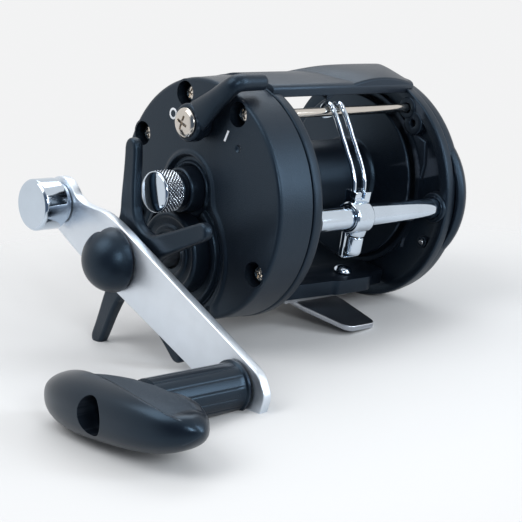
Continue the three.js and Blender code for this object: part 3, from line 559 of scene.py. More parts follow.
def make_frame():
    """The frame: two side plates, a top bar with a saddle, and a bottom rail that carries the foot."""
    x = RING_IN
    screw_boss, dowel = turned_point((0, 0), 31.5, 121.8), (-30.5, -10.0)
    gusset = soften(bare_object("gusset", prism([
        (-15.6, 24.0), (-22.9, 22.5), (-24.6, 15.0), (-24.2, 7.2), (-22.4, 6.8), (-20.4, 14.0), (-17.6, 20.0),
    ], x + 0.5, x + 2.4)), 0.5)
    rib = soften(bare_object("rib", prism([(-22.6, -5), (-21.9, -5), (-21.6, -15), (-22.2, -15)],
                                          x + 0.9, x + 2.4)), 0.15)

    section = rounded([(-10.6, 35.3), (-10.6, RING_R), (-9.2, BAR_TOP), (2.5, BAR_TOP), (8, 38.1), (12, 36.5),
                       (15.2, 34.6), (14.2, 32.9), (6, 35.2)], [0.5, 0.9, 0.9, 3, 2, 2, 0.6, 0.6, 3], True, 4)
    top_bar = soften(bare_object("top_bar", prism(section, -RING_OUT + 0.3, RING_OUT - 0.3)), 0.3, 2)

    plan = rounded([
        (-29.2, -18.4), (-13, -18.7), (2.8, -19.5), (4.4, -20.4), (18.6, -20.4), (20.8, -19.6), (22.6, -17.2),
        (29.2, -16.6), (29.2, 19.6), (-29.2, 19.6),
    ], [0.1, 4, 1.5, 1.2, 1.6, 1.6, 3, 0.1, 0.1, 0.1], True, 5)
    rail = bare_object("rail", plan_prism(plan, -30.2, -25.3))
    rivet_low, rivet_high = box_mm("foot_rivet_2")
    rivet_x, rivet_y, _ = (rivet_low + rivet_high) / 2
    hole = [(-40, 0), (-40, 1.8), (-20, 1.8), (-20, 0)]
    holes = [upright(hole, side * rivet_x, rivet_y, 0.01, 32) for side in (-1, 1)]
    carve(rail, [rod(-40, 40, 29.6, SPOOL, 160), *holes])
    soften(rail, 0.85, 4, 32)
    bosses = make_bosses(screw_boss, dowel)
    parts = [make_ring(-1), make_ring(1), bosses, gusset, rib, top_bar, make_hump(), rail]
    whole = blend_objects("frame_casting", parts)
    piece(whole, "reel_body", "graphite", "frame")
    well = [(x + 1.6, 0), (x + 1.6, 1.15), (x + 2.2, 1.15), (x + 2.2, 0)]
    shell_piece("frame_screw_well", knob_turned(well, screw_boss, 0.1, 32), "reel_body", "black_paint")
    pin = [(x + 0.2, 0), (x + 0.2, 0.85), (x + 2.2, 0.85), (x + 2.2, 0)]
    shell_piece("frame_dowel", knob_turned(pin, dowel, 0.3, 32), "reel_body", "steel")


# ---- handle-side cover

def cover_relief(y, z):
    """How far the cover's face sinks at a point: a keyhole-shaped well with a lip and a ridge."""
    to_handle = np.hypot(y - HANDLE[0], z - HANDLE[1])
    to_spool = np.hypot(y - SPOOL[0], z - SPOOL[1])
    a, b = to_handle - 22.4, to_spool - 11.0
    soft = 3.0
    h = np.clip(0.5 + 0.5 * (b - a) / soft, 0, 1)
    keyhole = b * (1 - h) + a * h - soft * h * (1 - h)
    lip = 0.5 * step(keyhole, 1.9, 0.5) * (1 - step(keyhole, 0.1, -0.7))
    well = 1.25 * step(keyhole, -0.1, -1.0) + 0.85 * step(keyhole, -2.6, -4.2)
    ridge = 1.7 * step(to_handle, 15.9, 16.5) * (1 - step(to_handle, 17.6, 18.2)) * step(to_spool, 8.6, 9.4)
    shoulder = 1.0 * (1 - step(to_spool, 8.5, 9.1)) * step(keyhole, -0.4, -1.2)
    dimple = 0.55 * (1 - step(np.hypot(y + 14.1, z - 21.0), 0.55, 1.25))
    return well + dimple - ridge - lip - shoulder


def cover_shell():
    """The cover's outside as a height field in rings about its centre, closed by a flat back."""
    sides, rings = 480, 110
    inner, outer = 0.35, 33.2
    rows = [(COVER_FACE, inner + (outer - inner) * i / (rings - 1)) for i in range(rings)]
    rows += rounded([(COVER_FACE, 33.5), (COVER_FACE, 37.55), (COVER_SEAM, 38.0)], [0, 1.5, 0], steps=8)[:-1]
    rows += [(COVER_FACE + 4, 37.62), (COVER_FACE + 8, 37.82), (COVER_SEAM - 0.25, 38.0), (COVER_SEAM, 37.75)]
    angle = np.linspace(0, 2 * math.pi, sides, endpoint=False)
    verts = [(COVER_FACE + float(cover_relief(0.0, 0.0)), 0, 0)]
    for x, r in rows:
        y, z = r * np.cos(angle), r * np.sin(angle)
        fade = 1 - step(x - COVER_FACE, 0.6, 4.5)
        verts += list(zip(x + np.maximum(cover_relief(y, z), -0.6) * fade, y, z))
    faces = [(0, 1 + j, 1 + (j + 1) % sides) for j in range(sides)]
    faces += [tuple(i + 1 for i in f) for f in grid_faces(len(rows), sides)]
    verts.append((COVER_SEAM, 0, 0))
    last = 1 + (len(rows) - 1) * sides
    faces += [(last + (j + 1) % sides, last + j, len(verts) - 1) for j in range(sides)]
    return Shell(verts, faces)


def make_cover():
    """The domed cover, hollow behind, with the boss, the threaded collar and the wells of its screws."""
    floor = -43.0
    body = carve(bare_object("cover_body", cover_shell()), [rod(COVER_SEAM + 1, floor, 36.2, (0, 0), 128)])
    boss = bare_object("boss", ring_turned([
        (-43.2, 11.0), (-43.2, 13.5), (-48.6, 13.2), (-49.3, 12.6), (-49.3, 11.7), (-48.6, 11.2),
        (-48.6, 9.0), (-49.2, 8.6), (-49.2, 7.2), (-48.5, 6.8), (-48.5, 5.0), (-47.4, 5.0), (-47.4, 11.0),
    ], HANDLE, 0.3, 144))
    thread = []
    for i in range(7):
        x = -50.2 - 0.8 * i
        thread += [(x, 4.95), (x - 0.4, 5.25)]
    collar = bare_object("collar", ring_turned([
        (-43.2, 2.4), (-43.2, 7.3), (-48.9, 7.0), (-49.4, 6.6), (-49.4, 6.1), (-48.9, 5.7), (-48.9, 5.0),
        *thread, (-55.5, 4.7), (-55.5, 2.4),
    ], SPOOL, 0.16, 112, 2))
    seat = x_span("cover_screw_1")[0] + 2.2
    holes, posts, liners = [], [], []
    for place in COVER_SCREWS:
        hole = [rod(-30, -50, 1.7, place, 32), rod(seat - 0.6, -50, 3.85, place, 64)]
        holes += hole
        post = bare_object("post", rod(COVER_SEAM - 0.1, floor - 0.3, 4.5, place, 40))
        posts.append(carve(post, hole))
        liners.append(bare_object("liner", ring_turned([
            (seat - 0.7, 3.86), (seat - 0.7, 4.5), (-45.1, 4.5), (-45.1, 3.86),
        ], place, 0.05, 64)))
    openings = [rod(-40, -60, 5.1, HANDLE, 64), rod(-40, -60, 4.6, SPOOL, 64), rod(-40, -47, 2.3, LEVER, 40)]
    carve(body, [*holes, *openings])
    whole = blend_objects("side_cover_handle", [body, boss, collar, *posts, *liners])
    piece(whole, "reel_body", "graphite", "handle_side_cover", material=COVER_GRAPHITE, sharp=32)


def make_marks():
    """Two white printed marks for the clutch lever: a bar where it drives, a ring where it is free."""
    top, root = COVER_FACE - 0.04, COVER_FACE + 0.3
    bar = prism([(-7.3, 21.4), (-8.1, 21.3), (-9.1, 24.9), (-8.3, 25.0)], top, root)
    ring = ring_turned([(top, 1.15), (top, 1.8), (root, 1.8), (root, 1.15)], (17.6, 22.2), 0.01, 64)
    for name, shell in (("mark_engaged", bar), ("mark_free", ring)):
        obj = soften(bare_object(name, shell), 0.015, 1)
        piece(obj, "reel_body", None, material=WHITE_INK)


# ---- screws and rivets

def make_screws():
    """The covers' screws. side is -1 for those that face the handle, 1 for those on the left cover."""
    for side, kind, places, head, top, depth in ((-1, "cover_screw", COVER_SCREWS, -41.0, -43.1, 0.9),
                                                 (1, "left_screw", LEFT_SCREWS, 35.9, 37.1, 0.7)):
        for i, place in enumerate(places, 1):
            node = f"{kind}_{i}"
            seat = max(x_span(node), key=lambda x: -side * x)
            obj = bare_object(node + "_head", knob_turned([
                (seat, 0), (seat, 1.3), (head, 1.3), (head, 3.2), (head + side * 0.9, 3.1),
                (top - side * 0.2, 2.1), (top, 0.9), (top, 0),
            ], place, 0.3, 56))
            carve(obj, phillips(top, place, 1.55, depth, 0.36, side))
            soften(obj, 0.06, 1, 60)
            turn_about(obj, place, 23 + 41 * i)
            piece(obj, "reel_body", "nickel", node)
    for i in (1, 2):
        low, high = box_mm(f"foot_rivet_{i}")
        x, y = (low[0] + high[0]) / 2, (low[1] + high[1]) / 2
        top = high[2] - UP
        shell_piece(f"foot_rivet_{i}_body", upright([
            (low[2] - UP, 0), (low[2] - UP, 1.5), (top - 2.2, 1.5), (top - 2.2, 3.1), (top - 1.5, 3.0),
            (top - 0.6, 2.3), (top - 0.1, 1.1), (top, 0),
        ], x, y, 0.4), "reel_body", "chrome", f"foot_rivet_{i}")


# ---- left cover

def make_left_cover():
    x0, x1 = x_span("left_side_cover")
    bulge = (-14.8, 2.5)
    disc = bare_object("disc", turned(rounded([
        (x0, 36.0), (x0, 37.8), (35.6, 37.7), (37.5, 35.2), (38.2, 25), (38.6, 0),
    ], [0, 0.3, 1.6, 2.4, 6, 0], steps=6), (0, 0), 160))
    lining = bare_object("lining", knob_turned([(35.9, 0), (35.9, 35.4), (35.4, 36.0), (x0, 36.0)],
                                               (0, 0), 0.3, 160))
    hand = bare_object("hand", turned(rounded([
        (x0, 23.5), (x0, 24.7), (34.4, 25.55), (37.0, 24.2), (38.7, 20.5), (39.3, 8), (39.4, 0),
    ], [0, 0.4, 1.6, 2.2, 5, 5, 0], steps=6), bulge, 128))
    boss = bare_object("boss", knob_turned([
        (37.0, 9.8), (39.5, 9.3), (x1, 8.2), (x1, 6.2), (x1 - 0.5, 5.6), (x1 - 0.5, 0),
    ], SPOOL, 0.5, 96))
    whole = blend_objects("side_cover_left", [disc, lining, hand, boss])
    piece(whole, "reel_body", "graphite", "left_side_cover")
    for i, place in enumerate(LEFT_SCREWS, 1):
        shell_piece(f"left_screw_cup_{i}", ring_turned(
            [(36.4, 3.0), (38.0, 3.0), (38.3, 3.4), (38.0, 3.9), (36.4, 3.9)], place, 0.2, 56),
            "reel_body", "graphite")


def make_clicker():
    """The clicker's ribbed button with its leg, and the bead round its slot in the left cover."""
    low, high = x_span("clicker_button")
    direction = turned_point((0, 0), 1.0, 300)
    across = np.array([-direction[1], direction[0]])
    middle = SPOOL + 17.0 * direction

    def plate(name, half_long, half_wide, xa, xb, edge, shift=0.0):
        corners = [middle + direction * (shift + a * half_long) + across * b * half_wide
                   for a, b in ((-1, -1), (1, -1), (1, 1), (-1, 1))]
        return soften(bare_object(name, prism([tuple(c) for c in corners], xa, xb)), edge)

    button = plate("button_top", 3.2, 3.2, high - 1.3, high, 0.5)
    ribs = [plate(f"rib_{k}", 0.35, 2.4, high - 0.4, high, 0.12, 1.5 * k) for k in (-1, 0, 1)]
    leg = plate("leg", 1.5, 1.2, low, high - 0.8, 0.15)
    whole = blend_objects("clicker_button_moulding", [button, leg, *ribs])
    piece(whole, "click", "black_rubber", "clicker_button")
    bead = slot_bead(middle - direction * CLICK_TRAVEL / 2, direction, across)
    shell_piece("clicker_slot_frame", bead, "reel_body", "graphite")


def slot_bead(middle, direction, across):
    """A low oval bead about the middle of the button's travel."""
    rows, sides, verts = 72, 10, []
    half_long, half_wide, squareness = 7.4, 4.6, 0.7
    for i in range(rows):
        t = 2 * math.pi * i / rows
        c, s = math.cos(t), math.sin(t)
        centre = middle + direction * half_long * np.sign(c) * abs(c) ** squareness
        centre = centre + across * half_wide * np.sign(s) * abs(s) ** squareness
        outward = direction * c + across * s
        for j in range(sides):
            a = 2 * math.pi * j / sides
            point = centre + outward * 0.55 * math.cos(a)
            verts.append((38.35 + 0.5 * math.sin(a), point[0], point[1]))
    return Shell(verts, grid_faces(rows, sides, wrap_rows=True))


# ---- foot

def make_foot():
    """The foot, black on top and below, with bare metal round the edge of its plate."""
    low, high = box_mm("reel_foot")
    z0, thick = low[2] - UP, 1.8
    corners = [(9.2, 19), (6.5, 36.2), (4.9, 38)]
    outline = [(-x, -y) for x, y in corners] + [(x, -y) for x, y in corners[::-1]]
    outline += corners + [(-x, y) for x, y in corners[::-1]]
    plate = bare_object("plate", plan_prism(rounded(outline, 1.2, True, 4), z0, z0 + thick))
    soften(plate, 0.28, 3, 40)
    pad = bare_object("pad", cuboid(-14.5, 14.5, -16, 16, z0 + thick - 0.2, high[2] - UP))
    soften(pad, 0.4, 3)
    foot = piece(blend_objects("foot_casting", [plate, pad]), "reel_body", "black_paint", "reel_foot")
    foot.data.materials.append(BARE_EDGE)
    plate_top = (z0 + thick - 0.01 + UP) / 1000
    for face in foot.data.polygons:
        if face.center.z < plate_top and abs(face.normal.z) < 0.93:
            face.material_index = 1


# ---- spool and bars

def make_spool_and_bars():
    """The spool, the slotted front tube and the guide bar."""
    f = x_span("spool")[1]
    rim = SPOOL_R - 0.4
    half = [(12, 2.3), (12, 9.4), (f - 1.3, 10.8), (f - 0.3, 22.5), (f, 23.6), (f, rim), (f - 0.4, SPOOL_R),
            (f - 1.0, SPOOL_R), (f - 1.4, rim), (f - 1.9, 13.4), (f - 3.2, 12.5)]
    profile = [(-x, r) for x, r in half] + half[::-1]
    shell_piece("spool_body", ring_turned(profile, SPOOL, 0.5, 160), "spool", "graphite", "spool")
    x0, x1 = x_span("worm_tube")
    wall = [(x0, TUBE_BORE), (x0, TUBE_R), (x1, TUBE_R), (x1, TUBE_BORE)]
    tube = bare_object("tube", ring_turned(wall, WORM, 0.2, 96, 4))
    y, z = WORM
    carve(tube, [cuboid(-25, 25, y - 1.2, y + 1.2, z - 5, z - 1)])
    soften(tube, 0.08, 1, 50)
    piece(tube, "reel_body", "chrome", "worm_tube")
    x0, x1 = x_span("guide_bar")
    bar = knob_turned([(x0, 0), (x0, GUIDE_R), (x1, GUIDE_R), (x1, 0)], GUIDE, 0.3, 64)
    shell_piece("guide_rod", bar, "reel_body", "nickel", "guide_bar")
    make_diamond_screw()


def make_diamond_screw():
    """The worm shaft with its two crossed grooves."""
    x0, x1 = x_span("worm_shaft")
    pitch, depth, thick, thin, half_long, steps = 9.0, 0.55, 2.3, 1.2, 27.6, 240

    def groove(angle, x, r):
        if r < thick - 0.1:
            return r
        turn = 2 * math.pi * x / pitch
        cut = sum(step(math.cos(turn + way * angle), 0.93, 0.99) for way in (-1, 1))
        return r - depth * cut * (abs(x) < 26)

    body = [(x0, 0), (x0, thin), (-half_long - 0.1, thin)]
    body += [(half_long * (2 * i / steps - 1), thick) for i in range(steps + 1)]
    body += [(half_long + 0.1, thin), (x1, thin), (x1, 0)]
    shell_piece("diamond_screw", turned(body, WORM, 64, radius=groove), "worm", "steel", "worm_shaft")


# ---- carriage and line guide

def make_carriage():
    """The carriage on the tube: a collar, a socket for the wires, and a neck with the pawl's cap and clip."""
    y, z = WORM
    cx = CARRIAGE_X
    bore = rod(cx - 9, cx + 9, TUBE_R + 0.25, WORM, 64)
    collar = bare_object("collar", ring_turned([
        (cx - 5.2, 3.6), (cx - 5.2, 4.5), (cx - 4.5, 5.0), (cx + 1.9, 5.0), (cx + 2.6, 4.5), (cx + 2.6, 3.6),
    ], WORM, 0.35, 96, 4))
    socket = bare_object("socket", cuboid(cx - 3.3, cx + 3.3, -32.9, -28.3, z + 2, 10.8))
    carve(socket, [bore])
    carve(socket, [cuboid(cx - 0.75, cx + 0.75, -34, -27, 8.6, 12)])
    soften(socket, 0.45, 3, 40)
    lip = soften(bare_object("lip", cuboid(cx - 3.6, cx - 1.2, -33.1, -30.6, 8.9, 11.1)), 0.3)
    neck_profile = [(-3.0, 0), (-3.0, 3.0), (-1.4, 3.3), (0.4, 3.6), (0.4, 0)]
    neck = carve(bare_object("neck", upright(neck_profile, cx, y, 0.4)), [bore])
    piece(blend_objects("carriage_casting", [collar, socket, lip, neck]), "carriage", "chrome", "carriage")
    low, high = box_mm("pawl_cap")
    bottom, top = low[2] - UP, high[2] - UP
    shell_piece("pawl_cap_body", upright([
        (top, 1.9), (top, 2.9), (bottom + 1.4, 2.9), (bottom + 0.35, 2.5), (bottom, 1.6), (bottom, 0),
    ], cx, y, 0.5), "carriage", "chrome", "pawl_cap")
    under = bottom - 0.35
    path = smooth_path([(cx - 4.9, y + 0.4, -1.9), (cx - 4.9, y + 0.2, -4.5), (cx - 4.85, y, under + 1.1),
                        (cx - 4.3, y, under + 0.15), (cx - 3.3, y, under), (cx - 1.2, y, under),
                        (cx + 0.8, y, under + 0.02)], 48)
    strip = sweep(path, [0.85] * 48, [0.3] * 48, 16)
    shell_piece("pawl_clip_strip", strip, "carriage", "chrome", "pawl_clip")
    make_line_guide(cx)


def make_line_guide(cx):
    """Two upright wires, twisted over their middle stretch, hooked over the guide bar and joined."""
    wire, gap, spread, count = 0.78, 0.32, 2.2, 150
    hook = GUIDE_R + wire + gap
    rise = [(-30.6, 7.8), (-30.45, 11.5), (-29.6, 14.4), (-27.2, 18.2), (-22.3, 24.1), (-17.6, 29.9)]
    over = [tuple(turned_point(GUIDE, hook, a)) for a in (150, 118, 86, 54, 22, -10, -30)]

    def strands(t, angle):
        window = step(t, 0.22, 0.3) * (1 - step(t, 0.66, 0.72))
        return 0.10 * window * abs(math.sin(angle + 55 * t)) - 0.02

    wires = []
    for side in (-1, 1):
        path = smooth_path([(cx + side * spread, a, b) for a, b in rise + over], count)
        wires.append(sweep(path, [wire] * count, [wire] * count, 20, twist=strands))
    y, z = turned_point(GUIDE, hook, -30)
    bridge = smooth_path([(cx + a, y - b, z - c) for a, b, c in (
        (-spread, 0, 0), (-1.8, 0.1, 0.75), (0, 0.2, 1.0), (1.8, 0.1, 0.75), (spread, 0, 0))], 32)
    wires.append(sweep(bridge, [0.74] * 32, [0.74] * 32, 16, (0, 1, 0)))
    shell_piece("line_guide_wire", together(*wires), "carriage", "chrome", "line_guide")


# ---- clutch lever

def make_lever():
    """The lever: a hub, an arm that runs out along the cover, and a thumb rest bent back over its edge."""
    reach, direction, count = 22.0, 130.95, 120
    hub = bare_object("hub", ring_turned([
        (-45.6, 2.3), (-45.6, 4.9), (-47.6, 5.1), (-47.9, 5.9), (-51.3, 5.9), (-51.9, 5.3), (-51.9, 2.3),
    ], LEVER, 0.35, 96, 4))
    route = [(0.4, -49.7), (4, -49.6), (9, -49.2), (14.5, -48.6), (18.6, -48.2), (20.9, -47.6), (21.9, -46.0),
             (reach, -43.0), (reach, -40.0), (reach, -36.1)]
    path = smooth_path([(x, *turned_point(LEVER, distance, direction)) for distance, x in route], count)
    stations = [0, 0.12, 0.3, 0.5, 0.62, 0.8, 1]
    widths, depths = [], []
    for i, p in enumerate(path):
        t = i / (count - 1)
        near_end = max(0.0, (p[0] + 37.6) / 1.55)
        cap = math.sqrt(max(0.02, 1 - min(near_end, 0.99) ** 2))
        widths.append(cap * np.interp(t, stations, [5.4, 5.0, 3.5, 2.9, 2.75, 2.6, 2.5]))
        depths.append(cap * np.interp(t, stations, [2.0, 2.3, 2.6, 2.6, 2.65, 2.6, 2.5]))
    arm = bare_object("arm", sweep(path, widths, depths, 40))
    carve(arm, [rod(-40, -60, 4.0, LEVER, 64)])
    piece(blend_objects("clutch_lever_moulding", [hub, arm]), "clutch", "graphite", "clutch_lever", sharp=45)
    top = x_span("lever_screw")[0]
    head = bare_object("lever_screw_head", knob_turned([
        (-50.9, 0), (-50.9, 1.7), (-52.0, 1.7), (-52.0, 4.55), (-52.5, 4.6), (-53.2, 3.9), (top + 0.15, 2.3),
        (top, 0),
    ], LEVER, 0.5, 80, 5))
    carve(head, phillips(top, LEVER, 2.3, 1.3, 0.42))
    soften(head, 0.08, 2, 50)
    turn_about(head, LEVER, 12)
    piece(head, "clutch", "nickel", "lever_screw")


# ---- cast control and star drag

def make_cast_cap():
    """The knurled cap. Its side is a grid of small diamonds, with valleys painted dark as shade and crests painted
    bright as highlights.
    """
    x0, x1 = x_span("cast_control_cap")
    round_count, pitch, depth = 34, 1.2, 0.55

    def knurl(angle, x, r):
        inside = step(x, x0 + 1.45, x0 + 1.75) * (1 - step(x, x1 - 0.6, x1 - 0.3))
        peak = 1.0
        for way in (-1, 1):
            share = (angle * round_count / (2 * math.pi) + way * x / pitch) % 1
            peak *= 1 - abs(2 * share - 1)
        return r + (depth * math.sqrt(peak) - 0.36) * inside * (r > 6)

    rows = [(x1, 5.6), (x1, 6.1)]
    rows += [(x1 - 0.25 - (x1 - x0 - 1.6) * i / 84, 6.4) for i in range(85)]
    rows += [(x0 + 1.15, 6.42), (x0 + 0.8, 6.3), (x0 + 0.5, 5.95), (x0 + 0.35, 5.3), (x0 + 0.12, 3.6),
             (x0 + 0.02, 1.8), (x0, 0)]
    inner = [(-57.0, 0), (-57.0, 5.6), (x1, 5.6)]
    band = shell_piece("cast_cap_knurled", together(turned(rows, SPOOL, 476, radius=knurl),
                                                    turned(inner, SPOOL, 96)),
                       "cast_cap", "chrome", "cast_control_cap", sharp=60)
    # The knurled faces take the knurl material: painted shade in the valleys, painted highlight on the crests.
    band.data.materials.append(KNURL)
    for face in band.data.polygons:
        x = face.center.x * 1000
        y, z = face.center.y * 1000 - SPOOL[0], face.center.z * 1000 - UP - SPOOL[1]
        if x0 + 1.5 < x < x1 - 0.4 and math.hypot(y, z) > 5.9:
            face.material_index = 1


def make_star():
    """Five arms in one flat outline, rounded over at the edge, on a turned hub."""
    first, half, fillet, shoulder, crown_r, edge_r = 74.3, 3.6, 8.0, 33.9, 2.9, 1.1
    bisector = (half + fillet) / math.sin(math.radians(36))
    outline = []
    for k in range(5):
        mid = math.radians(first + 72 * k)
        u, v = np.array([math.cos(mid), math.sin(mid)]), np.array([-math.sin(mid), math.cos(mid)])
        edge = [(a, np.interp(a, [15, 24, 36], [half, 3.05, 2.7])) for a in np.linspace(15.2, shoulder, 24)]
        edge += [(shoulder + crown_r * math.sin(t), 2.7 * math.cos(t)) for t in np.linspace(0.1, 1.54, 12)]
        run = [(a, -w) for a, w in edge] + [(a, w) for a, w in edge[::-1]]
        outline += [HANDLE + u * a + v * w for a, w in run]
        gap = mid + math.radians(36)
        centre = HANDLE + bisector * np.array([math.cos(gap), math.sin(gap)])
        for t in np.linspace(0, 1, 18)[1:-1]:
            outline.append(turned_point(centre, fillet, math.degrees(gap) + 180 + 54 * (1 - 2 * t)))
    outline = np.array(outline)
    ahead = np.roll(outline, -1, 0) - np.roll(outline, 1, 0)
    normal = np.stack([-ahead[:, 1], ahead[:, 0]], 1)
    normal /= np.linalg.norm(normal, axis=1)[:, None]
    angle = np.arctan2(outline[:, 1] - HANDLE[1], outline[:, 0] - HANDLE[0])
    hub = HANDLE + 7.5 * np.stack([np.cos(angle), np.sin(angle)], 1)

    inset = outline + normal * edge_r
    layers = [(hub + (inset - hub) * t, 1.0) for t in [*np.linspace(0, 0.97, 26), 1.0]]
    for k in range(1, 6):
        a = k / 5 * math.pi / 2
        layers.append((outline + normal * edge_r * (1 - math.sin(a)), 1 - 0.62 * (1 - math.cos(a))))
    rows = []
    for side in (-1, 1):
        for points, share in layers[::-side]:
            r = np.linalg.norm(points - HANDLE, axis=1)
            middle, thick = -63.1 + 1.5 * step(r, 15.0, 36.0), np.interp(r, [8, 20, 36], [2.1, 1.9, 1.7])
            rows.append(np.column_stack([middle + side * thick * share, points]))
    arms = bare_object("arms", Shell(np.concatenate(rows), grid_faces(len(rows), len(outline))))
    hub_body = bare_object("hub_body", ring_turned([
        (-57.3, 3.3), (-57.3, 7.4), (-60.2, 8.6), (-61.4, 9.8), (-65.0, 9.6), (-65.5, 8.6), (-66.3, 7.6),
        (-66.3, 3.3),
    ], HANDLE, 0.6, 112, 4))
    piece(blend_objects("star_drag_wheel", [arms, hub_body]), "star", "graphite", "star_drag", sharp=50)


# ---- crank

def arm_point(along, across):
    """A point on the crank's arm, from the crank's axis towards the counterweight and across."""
    return HANDLE + ARM_DIRECTION * along + ARM_ACROSS * across


def arm_outline():
    """The arm's outline, from the counterweight's round end to the knob's cut-off end and back."""
    start, stop = math.radians(-88), math.radians(96)
    outline = [arm_point(32 + 8.4 * math.cos(a), 8.4 * math.sin(a)) for a in np.linspace(start, stop, 28)]
    upper = [(28.8, 7.6), (25.5, 6.4), (21.5, 6.5), (17.0, 7.9), (11.0, 9.8), (3.0, 10.5), (-8, 10.3),
             (-30, 9.7), (-58, 9.1)]
    end = rounded([(-58.1, 9.1), (-69.0, 8.75), (-74.2, 4.6), (-74.9, -2.2), (-70.6, -7.4), (-58.1, -7.5)],
                  [0.1, 2.6, 2.2, 2.4, 2.6, 0.1], steps=8)
    lower = [(-52, -7.6), (-36, -8.0), (-16, -8.5), (0, -9.0), (10, -9.4), (20, -9.1), (28, -8.6)]
    for stretch in (smooth_path(upper, 60), end[1:], smooth_path(lower, 40)):
        outline += [arm_point(along, across) for along, across in stretch]
    return [tuple(p) for p in outline]


def make_arm():
    arm = bare_object("arm", prism(arm_outline(), ARM_X[0], ARM_X[1]))
    bores = ((2.85, HANDLE), (2.7, KNOB), (2.7, WEIGHT))
    carve(arm, [rod(-60, -75, radius, axis, 48) for radius, axis in bores])
    soften(arm, 0.42, 3, 40)
    piece(arm, "crank", "aluminium", "handle_arm")


def make_nut_cover(base):
    """A hollow dome over the handle nut, with a notch in its rim."""
    rim, height = 10.0, 9.3
    dome = [(base, 7.6), (base, 9.7)]
    for t in (0, *np.linspace(0.06, math.pi / 2, 40)):
        dome.append((base - 0.5 - height * math.sin(t), rim * math.cos(t)))
    dome[-1] = (dome[-1][0], 0.0)
    whole = blend_objects("nut_cap", [
        bare_object("cap", turned(dome, HANDLE, 128)),
        bare_object("bore", turned([(base, 7.6), (base - 5.2, 7.0), (base - 5.2, 0)], HANDLE, 96)),
    ])
    direction = turned_point((0, 0), 1.0, 50)
    across = np.array([-direction[1], direction[0]])
    corners = [tuple(HANDLE + direction * a + across * b)
               for a, b in ((7.9, -3.4), (12, -3.4), (12, 3.4), (7.9, 3.4))]
    carve(whole, [prism(corners, base + 0.2, base - 4.6)])
    soften(whole, 0.12, 2, 50)
    piece(whole, "crank", "graphite", "nut_cover", sharp=45)


def make_counterweight(base):
    x0, x1 = x_span("counterweight")
    shell_piece("counterweight_body", knob_turned([
        (x1, 0), (x1, 2.5), (base, 2.5), (base, 6.6), (base - 1.3, 6.9), (base - 2.0, 7.9),
        (base - 2.6, 8.15), (x0 + 0.8, 8.15), (x0 + 0.05, 7.5), (x0, 6.9), (x0, 0),
    ], WEIGHT, 0.35, 144, 5), "crank", "chrome", "counterweight")


def make_sleeve(base):
    """The knob's fluted sleeve."""
    radius, flutes, flute_depth, smooth_until = 7.0, 14, 0.16, -72.4

    def grooves(angle, x, r):
        if r < radius - 0.1 or x > smooth_until:
            return r
        return r - flute_depth * step(math.cos(angle * flutes), 0.88, 1.0)

    rows = [(base - 0.2, 2.8), (base - 0.2, 7.3), (base - 0.6, 7.7), (base - 1.4, 7.7), (base - 1.8, 7.1)]
    rows += [(base - 2.2 - 28.8 * i / 20, radius) for i in range(21)]
    rows += [(-101.6, radius), (-102.4, 5.0), (-110.8, 5.0), (-110.8, 2.8)]
    shell_piece("knob_sleeve_body", turned(rows, KNOB, 168, closed=True, radius=grooves),
                "grip", "black_rubber", "knob_sleeve")


def make_knob_spindle():
    x0, x1 = x_span("knob_spindle")
    y, z = KNOB
    spindle = bare_object("spindle", knob_turned([
        (x1, 0), (x1, 2.5), (x0 + 2.4, 2.5), (x0 + 2.4, 4.4), (x0 + 0.9, 4.4), (x0 + 0.5, 3.9), (x0, 3.2),
        (x0, 0),
    ], KNOB, 0.3, 72))
    carve(spindle, [cuboid(x0 - 1, x0 + 0.8, y - 3, y + 3, z - 0.5, z + 0.5)])
    soften(spindle, 0.08, 1, 50)
    piece(spindle, "crank", "steel", "knob_spindle")


def make_grip():
    """The knob: a squarish oval body along a slanted line, with a stippled hollow for the thumb."""
    mid_x = sum(x_span("knob_grip")) / 2
    along, up = turned_point((0, 0), 1.0, -15), turned_point((0, 0), 1.0, 75)
    rows, sides = 180, 200
    half_long, half_high, half_deep, squareness, hollow_depth = 32.2, 8.9, 10.86, 2.45, 1.3
    verts, in_hollow = [], []
    for i in range(rows + 1):
        s = -math.cos(math.pi * i / rows)
        base = max(0.0, 1 - abs(s) ** 2.9) ** 0.56
        taper = 1.0 + 0.05 * s
        swell = 0.24 * math.exp(-((s - 0.05) / 0.36) ** 2)
        edge = 27 - 21 * math.sin(1.5 * s + 0.3)
        window = step(abs(s), 0.93, 0.72)
        for j in range(sides):
            phi = 2 * math.pi * j / sides
            c, d = math.cos(phi), math.sin(phi)
            r = base * (abs(c) ** squareness + abs(d) ** squareness) ** (-1 / squareness)
            turn = (math.degrees(phi) + 180) % 360 - 180
            hollow = window * step(turn, edge - 92, edge - 80) * (1 - step(turn, edge - 5, edge + 1.5))
            dip = hollow_depth * hollow
            high = half_high * taper * r * c - 1.3 * dip * c
            deep = half_deep * r * d * (1 + swell * (d < 0)) - dip * d
            place = KNOB + along * (half_long * s - 0.75) + up * high
            verts.append((mid_x - deep, *place))
            in_hollow.append(hollow > 0.75)
    grip = bare_object("knob_grip_moulding", Shell(verts, grid_faces(rows + 1, sides)), merge=True)
    oval = [tuple(KNOB + along * 5.0 * math.cos(t) + up * 5.4 * math.sin(t))
            for t in np.linspace(0, 2 * math.pi, 64, endpoint=False)]
    carve(grip, [prism(oval, -111, -125), rod(-95, -103.4, 7.35, KNOB, 96), rod(-100, -113, 5.3, KNOB, 96)])
    soften(grip, 0.35, 3, 55)
    piece(grip, "grip", "black_rubber", "knob_grip", sharp=50)
    grip.data.materials.append(STIPPLE)
    panel = KDTree(len(verts))
    for i, v in enumerate(verts):
        panel.insert(TO_ROW @ Vector(v), i)
    panel.balance()
    for face in grip.data.polygons:
        _, i, gap = panel.find(face.center)
        if in_hollow[i] and gap < 0.0006:
            face.material_index = 1


